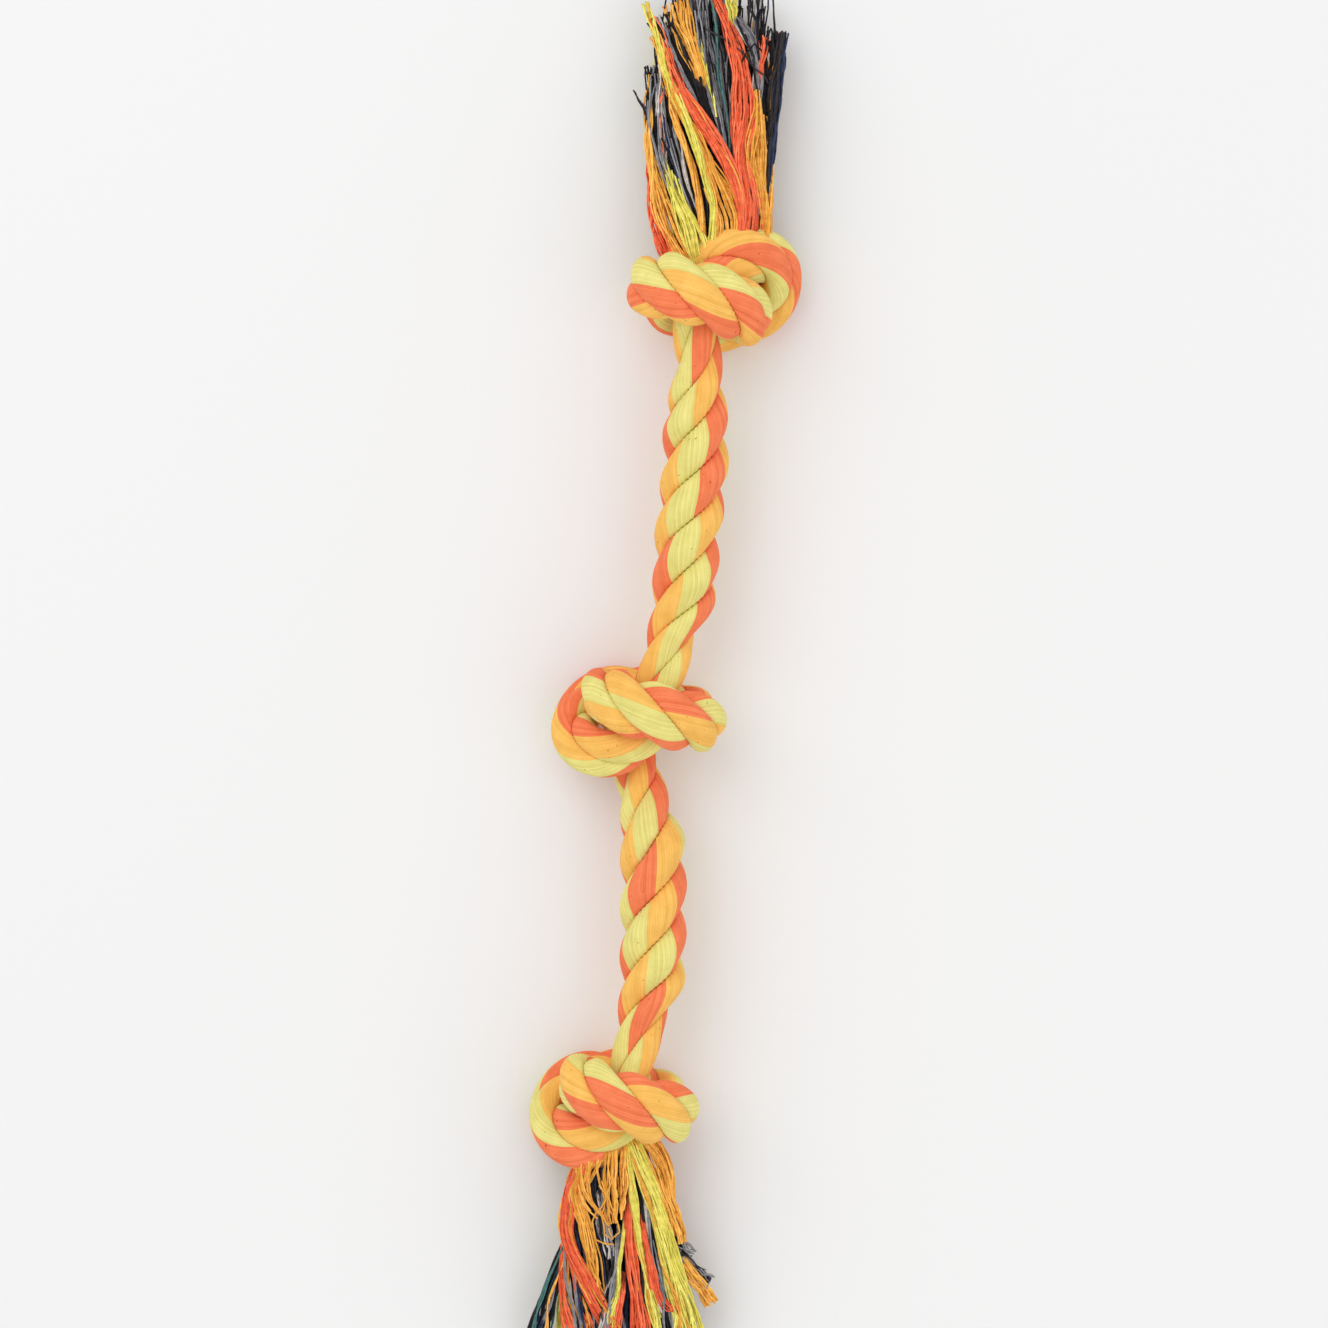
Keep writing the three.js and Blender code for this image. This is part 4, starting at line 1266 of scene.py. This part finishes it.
@dataclass
class YarnTree:
    """The geometry nodes that turn lines into round yarns, each a little crooked in its own way.

    A yarn's tone, times tone_step, is where its own noise starts.
    """

    tone_step: float = 60
    fray_detail: float = 1

    def __post_init__(self) -> None:
        """Builds the tree."""
        self.tree = bpy.data.node_groups.new("yarn_tubes", "GeometryNodeTree")
        face = self.tree.interface
        face.new_socket("Lines", in_out="INPUT", socket_type="NodeSocketGeometry")
        self.inputs = {}
        for name, kind in (("Radius", "Float"), ("Fray", "Float"), ("Fray Scale", "Float"), ("Sides", "Int"),
                           ("Finish", "Material")):
            made = face.new_socket(name, in_out="INPUT", socket_type="NodeSocket" + kind)
            self.inputs[name] = made.identifier
        face.new_socket("Yarns", in_out="OUTPUT", socket_type="NodeSocketGeometry")
        self._lay_out()

    def _add(self, kind: str, inputs: dict | None = None, **settings: object) -> bpy.types.Node:
        """Adds a node of a type to the tree, with its inputs and properties."""
        return add_node(self.tree, kind, inputs, **settings)

    def _measured(self, curves: bpy.types.NodeSocket, measure: str) -> bpy.types.Node:
        """Keeps each point's Length or Factor along its curve, for the mesh that is made of the curves.

        Args:
            curves: the curves.
            measure: which of the two.

        Returns:
            The node, with the curves and the measure.
        """
        kept = self._add("GeometryNodeCaptureAttribute", {"Geometry": curves})
        kept.capture_items.new("FLOAT", measure)
        feed(self.tree, kept.inputs[measure], self._add("GeometryNodeSplineParameter").outputs[measure])
        return kept

    def _lay_out(self) -> None:
        """Adds the nodes and joins them."""
        start = self._add("NodeGroupInput")
        curves = self._add("GeometryNodeMeshToCurve", {"Mesh": start.outputs["Lines"]})
        moved = self._add("GeometryNodeSetPosition", {
            "Geometry": curves.outputs["Curve"], "Offset": self._crooked(start)})
        lengths = self._measured(moved.outputs["Geometry"], "Length")
        ring = self._add("GeometryNodeCurvePrimitiveCircle", {
            "Radius": start.outputs["Radius"], "Resolution": start.outputs["Sides"]}, mode="RADIUS")
        turns = self._measured(ring.outputs["Curve"], "Factor")
        tubes = self._add("GeometryNodeCurveToMesh", {
            "Curve": lengths.outputs["Geometry"], "Profile Curve": turns.outputs["Geometry"], "Fill Caps": True})
        place = self._add("ShaderNodeCombineXYZ", {"X": turns.outputs["Factor"], "Y": lengths.outputs["Length"]})
        mapped = self._add("GeometryNodeStoreNamedAttribute", {
            "Geometry": tubes.outputs["Mesh"], "Name": "yarn_map", "Value": place.outputs["Vector"]},
            data_type="FLOAT2", domain="CORNER")
        real = self._add("GeometryNodeRealizeInstances", {"Geometry": mapped.outputs["Geometry"]})
        finish = self._add("GeometryNodeSetMaterial", {
            "Geometry": real.outputs["Geometry"], "Material": start.outputs["Finish"]})
        self._add("NodeGroupOutput", {"Yarns": finish.outputs["Geometry"]})

    def _crooked(self, start: bpy.types.Node) -> bpy.types.NodeSocket:
        """Gives how far each point of a yarn strays, more towards its tip.

        Args:
            start: the tree's inputs.

        Returns:
            The offset of each point.
        """
        tone = self._add("GeometryNodeInputNamedAttribute", {"Name": "tone"}, data_type="FLOAT")
        own = self._add("ShaderNodeMath", {0: tone.outputs["Attribute"], 1: self.tone_step},
                        operation="MULTIPLY")
        noise = self._add("ShaderNodeTexNoise", {
            "W": own.outputs["Value"], "Scale": start.outputs["Fray Scale"], "Detail": self.fray_detail},
            noise_dimensions="4D")
        stray = self._add("ShaderNodeVectorMath", {0: noise.outputs["Color"], 1: (0.5, 0.5, 0.5)},
                          operation="SUBTRACT")
        along = self._add("GeometryNodeSplineParameter")
        amount = self._add("ShaderNodeMath", {0: along.outputs["Factor"], 1: start.outputs["Fray"]},
                           operation="MULTIPLY")
        offset = self._add("ShaderNodeVectorMath", {
            0: stray.outputs["Vector"], "Scale": amount.outputs["Value"]}, operation="SCALE")
        return offset.outputs["Vector"]

    def tubes(self, name: str, lines: bpy.types.Mesh, sizes: dict) -> bpy.types.Object:
        """Turns lines into a plain mesh of yarns.

        Args:
            name: the new object's name.
            lines: a mesh of edges, one chain for each yarn.
            sizes: the tree's inputs by name.

        Returns:
            The object, with no modifier left on it.
        """
        draft = add_object(name + "_lines", lines)
        modifier = draft.modifiers.new("yarns", "NODES")
        modifier.node_group = self.tree
        for key, value in sizes.items():
            modifier[self.inputs[key]] = value
        bpy.context.view_layer.update()
        seen = draft.evaluated_get(bpy.context.evaluated_depsgraph_get())
        mesh = bpy.data.meshes.new_from_object(seen)
        mesh.name = name
        draft.modifiers.clear()
        bpy.data.objects.remove(draft)
        return add_object(name, mesh)


@dataclass
class Tassel:
    """A frayed end of the rope: locks of loose yarn, cover yarns over and under the core's.

    A tassel's own y runs away from its knot, which is up the toy where away is 1 and down it where away is -1.
    A lock's yarns lie in clumps. A lock of fewer yarns than few is of single threads. One that starts further out
    than seen_root comes up from among the others, by seen_dive, and any other one starts root_reach inside the
    knot, lower by root_dive. The short shares say how much of its length a yarn may lack.
    """

    body: str
    knot: str
    pivot: np.ndarray
    away: float
    locks: tuple[LockPlan, ...]
    reach: float
    half_width: float
    lean: float
    seed: int
    root_half_width: float = 12 * MM
    root_half_height: float = 9.2 * MM
    tip_half_height: float = 7.6 * MM
    tip_height: float = 8.6 * MM
    yarn_radius: float = 0.26 * MM
    cover_fineness: float = 3.1
    core_fineness: float = 2.4
    step: float = 2.4 * MM
    cover_clump: int = 4
    core_clump: int = 3
    clump_radius: float = 0.48 * MM
    clump_pitch: float = 26 * MM
    core_clump_share: float = 0.6
    inmost_share: float = 0.05
    few: int = 4
    least_steps: int = 6
    least_points: int = 5
    steps_per_point: int = 10
    seen_root: float = -8 * MM
    seen_dive: float = 0.5
    seen_dive_end: float = 0.25
    seen_late_share: float = 0.15
    root_reach: float = 9 * MM
    root_dive: float = 0.55
    root_dive_factor: float = 1.4
    short_share: float = 0.16
    thin_short_share: float = 0.55
    sway: float = 0.5 * MM
    sway_waves: tuple[float, float] = (9, 17)
    lift: float = 0.35 * MM
    lift_waves: tuple[float, float] = (11, 19)
    open_start: float = -20 * MM
    open_end_share: float = 0.75
    fall_shares: tuple[float, float] = (-0.1, 0.85)
    edge_fall: float = 0.9
    edge_power: float = 2.6
    fray: float = 3.2 * MM
    fray_scale: float = 75.0
    sides: int = 5
    floor_lift: float = 1 * MM
    blend_reach: float = 11 * MM
    slots: dict[Yarn, str] = field(default_factory=lambda: {
        Yarn.ORANGE: "orange", Yarn.CORAL: "coral", Yarn.LIME: "lime"})

    def build(self, tree: YarnTree, finishes: dict[Yarn, bpy.types.Material]) -> list[bpy.types.Object]:
        """Builds the tassel, one piece for each colour of yarn.

        Args:
            tree: the geometry nodes that make yarns of lines.
            finishes: the materials made so far, to which it adds its own.

        Returns:
            The pieces.
        """
        draw = np.random.default_rng(self.seed)
        lines = {}
        for lock in self.locks:
            for yarn, line in self._yarns(lock, draw):
                lines.setdefault(yarn, []).append(line)
        made = []
        for yarn, chains in lines.items():
            if yarn not in finishes:
                finishes[yarn] = YarnFinish(yarn).make()
            name = f"{self.body}_{yarn.value}_yarns"
            sizes = {"Radius": self.yarn_radius, "Fray": self.fray, "Fray Scale": self.fray_scale,
                     "Sides": self.sides, "Finish": finishes[yarn]}
            piece = tree.tubes(name, self._edges(name, chains, draw), sizes)
            piece.data.shade_smooth()
            self._keep_above_floor(piece.data)
            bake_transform(piece)
            group = self.slots.get(yarn, "core")
            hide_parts(*[f"{self.body}_{group}_lock_{letter}" for letter in "abc"])
            made.append(piece)
        return made

    def _yarns(self, lock: LockPlan, draw: np.random.Generator) -> list[tuple[Yarn, np.ndarray]]:
        """Draws a lock's yarns.

        Args:
            lock: the lock's plan.
            draw: the tassel's source of chance.

        Returns:
            Pairs of a yarn's colour and its points.
        """
        marked = np.array(lock.route) * MM
        few = lock.count < self.few
        rises = not few and marked[0, 1] > self.seen_root
        if not (few or rises):
            back = marked[0] - marked[1]
            marked = np.concatenate([[marked[0] + back * self.root_reach / np.linalg.norm(back[:2])], marked])
            marked[0, 2] = marked[1, 2]
        route = through_points(marked, self.steps_per_point)
        run = run_lengths(route[:, :2])
        count = max(self.least_steps, int(run[-1] / self.step))
        at = np.linspace(0, run[-1], count + 1)
        x, y, width = (np.interp(at, run, route[:, q]) for q in range(3))
        ahead = unit(np.stack([np.gradient(x), np.gradient(y)], axis=1))
        share = at / run[-1]
        level = lock.levels[0] + (lock.levels[1] - lock.levels[0]) * share
        inward = -np.sign(lock.levels[0])
        if rises:
            level = level + inward * self.seen_dive * (1 - smooth(0, self.seen_dive_end, share))
        elif not few:
            hidden = 1 - smooth(0, self.root_dive_factor * self.root_reach, at)
            level = level + inward * self.root_dive * hidden
        made = []
        cover = all(yarn in self.slots for yarn in lock.yarns)
        yarns = lock.count if few else int(lock.count * (self.cover_fineness if cover else self.core_fineness))
        clumps = 1 if few else max(2, round(yarns / (self.cover_clump if cover else self.core_clump)))
        reach = self.clump_radius * (1 if cover and not few else self.core_clump_share)
        thin = 0 if few else 1 - float(width[-1] / width.max())
        marks = draw.uniform(0, 2 * np.pi, (clumps, 5))
        colours = [lock.yarns[k] for k in draw.integers(len(lock.yarns), size=clumps)]
        for i in range(yarns):
            turn, *waves = marks[i % clumps]
            off = 0 if few else math.sqrt((i % clumps + 0.5) / clumps)
            twist = draw.uniform(0, 2 * np.pi) + 2 * np.pi * at / self.clump_pitch
            inner = reach * math.sqrt(draw.uniform(self.inmost_share, 1))
            sway = self._waves(self.sway, share, self.sway_waves, waves[:2])
            lift = self._waves(self.lift, share, self.lift_waves, waves[2:])
            across = off * math.cos(turn) * width / 2 + sway + inner * np.cos(twist)
            px = x - across * ahead[:, 1]
            py = y + across * ahead[:, 0]
            pz = self._height(px, py, level) + off * math.sin(turn) * lock.depth * MM / 2
            pz = pz + lift + inner * np.sin(twist)
            first = int((count + 1) * draw.uniform(0, self.seen_late_share)) if rises else 0
            short = draw.uniform()
            short = self.thin_short_share * thin * short + self.short_share * short ** 2
            keep = count + 1 if few else max(first + self.least_points, int((count + 1) * (1 - short)))
            line = np.stack([self.pivot[0] + px, self.pivot[1] + self.away * py, pz], axis=1)[first:keep]
            made.append((colours[i % clumps], line))
        return made

    @staticmethod
    def _waves(size: float, share: np.ndarray, rates: tuple[float, float], starts: list[float]) -> np.ndarray:
        """Gives how far a clump wanders along its length, as two waves that grow from its root."""
        return size * share * sum(np.sin(share * rate + start) for rate, start in zip(rates, starts))

    def _height(self, x: np.ndarray, y: np.ndarray, level: np.ndarray) -> np.ndarray:
        """Gives how high a place at a level of the tassel lies.

        Args:
            x: places across, from the pivot.
            y: places away from the knot, from the pivot.
            level: -1 under the tassel to 1 on top of it.

        Returns:
            Heights above the floor.
        """
        open_share = smooth(self.open_start, self.open_end_share * self.reach, y)
        fall = smooth(self.fall_shares[0] * self.reach, self.fall_shares[1] * self.reach, y)
        middle = self.pivot[2] + (self.tip_height - self.pivot[2]) * fall
        wide = self.root_half_width + (self.half_width - self.root_half_width) * open_share
        high = self.root_half_height + (self.tip_half_height - self.root_half_height) * fall
        out = np.clip(np.abs(x - self.lean * open_share) / wide, 0, 1)
        return middle + level * high * np.sqrt(1 - self.edge_fall * out ** self.edge_power)

    @staticmethod
    def _edges(name: str, chains: list[np.ndarray], draw: np.random.Generator) -> bpy.types.Mesh:
        """Makes one mesh of edges from chains of points, with a tone for each yarn.

        Args:
            name: the piece's name.
            chains: each yarn's points.
            draw: the tassel's source of chance.

        Returns:
            The mesh.
        """
        lengths = np.array([len(c) for c in chains])
        starts = np.concatenate([[0], np.cumsum(lengths)[:-1]])
        edges = np.concatenate([np.stack([np.arange(s, s + n - 1), np.arange(s + 1, s + n)], axis=1)
                                for s, n in zip(starts, lengths)])
        mesh = bpy.data.meshes.new(name + "_lines")
        mesh.from_pydata(np.concatenate(chains).tolist(), edges.tolist(), [])
        tone = np.repeat(draw.uniform(0, 1, len(chains)), lengths)
        mesh.attributes.new("tone", "FLOAT", "POINT").data.foreach_set("value", tone)
        return mesh

    def _keep_above_floor(self, mesh: bpy.types.Mesh) -> None:
        """Lifts what would go under the floor to lie on it.

        Args:
            mesh: the piece's mesh.
        """
        points = np.empty(len(mesh.vertices) * 3, np.float32)
        mesh.vertices.foreach_get("co", points)
        points = points.reshape(-1, 3)
        points[:, 2] = above_floor(points[:, 2], self.floor_lift)
        mesh.vertices.foreach_set("co", points.ravel())
        mesh.update()


@dataclass
class Rope:
    """The laid rope: three strands, each divided where the toy bends.

    A piece beside a knot ends at piece_reach from the joint's pivot, past the blend reach of the next one.
    """

    rings: RopeRings
    blend_reach: float = 11 * MM
    piece_reach: float = 13 * MM
    end_from_knot: float = 11 * MM
    path_step: float = 4 * MM

    def build(self) -> list[bpy.types.Object]:
        """Builds every strand's pieces and sets the body that each piece outside a blend rides on.

        Returns:
            The pieces.
        """
        joints = pivots()
        finishes = {}
        made = []
        reaches = {}
        for plan in STRANDS:
            skin = StrandSkin(self.rings, plan)
            if plan.colours not in finishes:
                finishes[plan.colours] = StrandFinish(skin.yarns, plan.colours).make()
            rows = skin.rows()
            for name, body, node, start, end, blend in self._sections(joints, plan.letter):
                mesh = tube_mesh(name, rows[start:end + 1], self.rings.run[start:end + 1])
                mesh.materials.append(finishes[plan.colours])
                piece = add_object(name, mesh)
                if blend:
                    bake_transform(piece)
                else:
                    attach(piece, body)
                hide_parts(node)
                made.append(piece)
                reaches.setdefault(body, []).append((piece, start, end))
        for knot in self.rings.route.knots:
            self._declare(reaches[knot.body])
        return made

    def _declare(self, strands: list) -> None:
        """Works out the path of a knot's rope in even steps, from its first strand's rings; nothing is done with
        it.

        Args:
            strands: each strand's piece, with its first and last ring.
        """
        first, start, end = strands[0]
        path = self.rings.centre[start:end + 1]
        path = even_steps(path, int(run_lengths(path)[-1] / self.path_step))

    def _end_ring(self, y: float, top: bool) -> int:
        """Gives the ring where the rope's laid part ends and its tassel starts.

        Args:
            y: height of the end in the frame.
            top: whether it is the top end.

        Returns:
            The ring's number.
        """
        heights = self.rings.centre[:, 1]
        if top:
            return int(np.argmax(heights < y))
        return len(heights) - 1 - int(np.argmax(heights[::-1] > y))

    def _sections(self, joints: dict[str, np.ndarray], letter: str) -> list[tuple]:
        """Lists one strand's pieces.

        Args:
            joints: each joint's pivot by its name.
            letter: the strand's letter.

        Returns:
            For each piece its name, body, replaced node, first and last ring, and its blend or None.
        """
        at = self.rings.nearest
        reach = self.piece_reach
        top_side, upper = joints["top_knot_lift"], joints["upper_span_sweep"]
        lower, bottom_side = joints["lower_span_sweep"], joints["bottom_knot_lift"]
        knots, shift = self.rings.route.knots, self.rings.route.shift
        cuts = [
            self._end_ring(knots[0].centre[1] + shift[1] + self.end_from_knot, True),
            at(top_side[1] + reach),
            at((top_side[1] + upper[1]) / 2),
            at(upper[1] - reach),
            at(lower[1] + reach),
            at((lower[1] + bottom_side[1]) / 2),
            at(bottom_side[1] - reach),
            self._end_ring(knots[2].centre[1] + shift[1] - self.end_from_knot, False),
        ]

        def across(pivot: np.ndarray, first: str, second: str) -> tuple:
            """Gives the blend over a pivot, from the body above it to the one below."""
            step = np.array([0, self.blend_reach, 0])
            return (first, second, tuple(pivot + step), tuple(pivot - step))

        parts = (
            ("top_knot_rope", "top_knot", "top_knot", None),
            ("upper_rope_high", None, "upper_span", across(top_side, "top_knot", "upper_span")),
            ("upper_rope_low", None, "upper_span", across(upper, "upper_span", "middle_knot")),
            ("middle_knot_rope", "middle_knot", "middle_knot", None),
            ("lower_rope_high", None, "lower_span", across(lower, "middle_knot", "lower_span")),
            ("lower_rope_low", None, "lower_span", across(bottom_side, "lower_span", "bottom_knot")),
            ("bottom_knot_rope", "bottom_knot", "bottom_knot", None),
        )
        return [(f"{name}_{letter}", body, f"{node}_strand_{letter}", start, end, blend)
                for (name, body, node, blend), start, end in zip(parts, cuts, cuts[1:])]


@dataclass(frozen=True)
class Lamp:
    """A soft square lamp that faces the toy, with its size in metres and its power in watts."""

    name: str
    place: tuple[float, float, float]
    size: float
    power: float


@dataclass
class Studio:
    """The pale floor, the soft lights and the camera that looks straight down on the toy."""

    photo_width: int = 1328
    metres_per_pixel: float = 0.283 * MM
    middle_knot_pixel: tuple[float, float] = (630, 719)
    camera_height: float = 2.0
    focus_height: float = 18 * MM
    clip_end: float = 100
    floor_size: float = 6.0
    floor_colour: tuple[int, int, int] = (240, 240, 240)
    floor_roughness: float = 0.9
    sky_colour: tuple[float, float, float, float] = (1, 1, 1, 1)
    sky_strength: float = 0.79
    lamps: tuple[Lamp, ...] = (
        Lamp("key", (-0.9, 0.9, 1.5), 1.8, 11),
        Lamp("fill", (1.1, -0.6, 1.3), 1.8, 5),
    )

    def build(self, route: RopeRoute) -> None:
        """Makes the floor, lights and camera.

        Args:
            route: the rope's route, which the camera is set by.
        """
        self._floor()
        self._lights()
        self._camera(route)

    def _camera(self, route: RopeRoute) -> None:
        """Sets the camera above the place that the photograph's middle shows.

        Args:
            route: the rope's route.
        """
        data = bpy.data.cameras.new("camera")
        camera = bpy.data.objects.new("camera", data)
        bpy.context.scene.collection.objects.link(camera)
        half = self.photo_width / 2
        x = route.shift[0] + (half - self.middle_knot_pixel[0]) * self.metres_per_pixel
        y = route.shift[1] + (self.middle_knot_pixel[1] - half) * self.metres_per_pixel
        camera.location = (x, y, self.camera_height)
        width = self.photo_width * self.metres_per_pixel
        data.lens = data.sensor_width * (self.camera_height - self.focus_height) / width
        data.clip_end = self.clip_end
        bpy.context.scene.camera = camera

    def _floor(self) -> None:
        """Lays the pale floor."""
        mesh = bpy.data.meshes.new("floor")
        half = self.floor_size / 2
        corners = [(-half, -half, 0), (half, -half, 0), (half, half, 0), (-half, half, 0)]
        mesh.from_pydata(corners, [], [(0, 1, 2, 3)])
        floor = add_object("floor", mesh)
        sheet = NodeSheet("floor_paper")
        sheet.shader.inputs["Base Color"].default_value = linear(self.floor_colour)
        sheet.shader.inputs["Roughness"].default_value = self.floor_roughness
        mesh.materials.append(sheet.material)

    def _lights(self) -> None:
        """Hangs a large soft lamp up and to the left, a weaker one to the right, and a pale sky."""
        for plan in self.lamps:
            data = bpy.data.lights.new(plan.name, "AREA")
            data.size = plan.size
            data.energy = plan.power
            lamp = bpy.data.objects.new(plan.name, data)
            bpy.context.scene.collection.objects.link(lamp)
            lamp.location = plan.place
            lamp.rotation_euler = (-Vector(plan.place)).to_track_quat("-Z", "Y").to_euler()
        world = bpy.data.worlds.new("sky")
        world.use_nodes = True
        sky = world.node_tree.nodes["Background"].inputs
        sky["Color"].default_value = self.sky_colour
        sky["Strength"].default_value = self.sky_strength
        bpy.context.scene.world = world


def main() -> None:
    """Builds the toy and its studio."""
    logging.basicConfig(level=logging.INFO, format="%(name)s: %(message)s")
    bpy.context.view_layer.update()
    bpy.context.scene.view_settings.view_transform = "Standard"
    route = RopeRoute()
    Studio().build(route)
    rings = RopeRings(route)
    log.info("rope line %.4f m, shift %s", rings.run[-1], route.shift)
    joints = pivots()
    tree, finishes = YarnTree(), {}
    pieces = Rope(rings).build()
    pieces += Tassel("top_tassel", "top_knot", pivot=joints["top_tassel_sweep"], away=1, locks=TOP_LOCKS,
                     reach=60 * MM, half_width=19 * MM, lean=0.5 * MM, seed=11).build(tree, finishes)
    pieces += Tassel("bottom_tassel", "bottom_knot", pivot=joints["bottom_tassel_sweep"], away=-1,
                     locks=BOTTOM_LOCKS, reach=57 * MM, half_width=22 * MM, lean=4 * MM,
                     seed=12).build(tree, finishes)
    for piece in pieces:
        log.info("%s: %d faces", piece.name, len(piece.data.polygons))


if __name__ == "__main__":
    main()
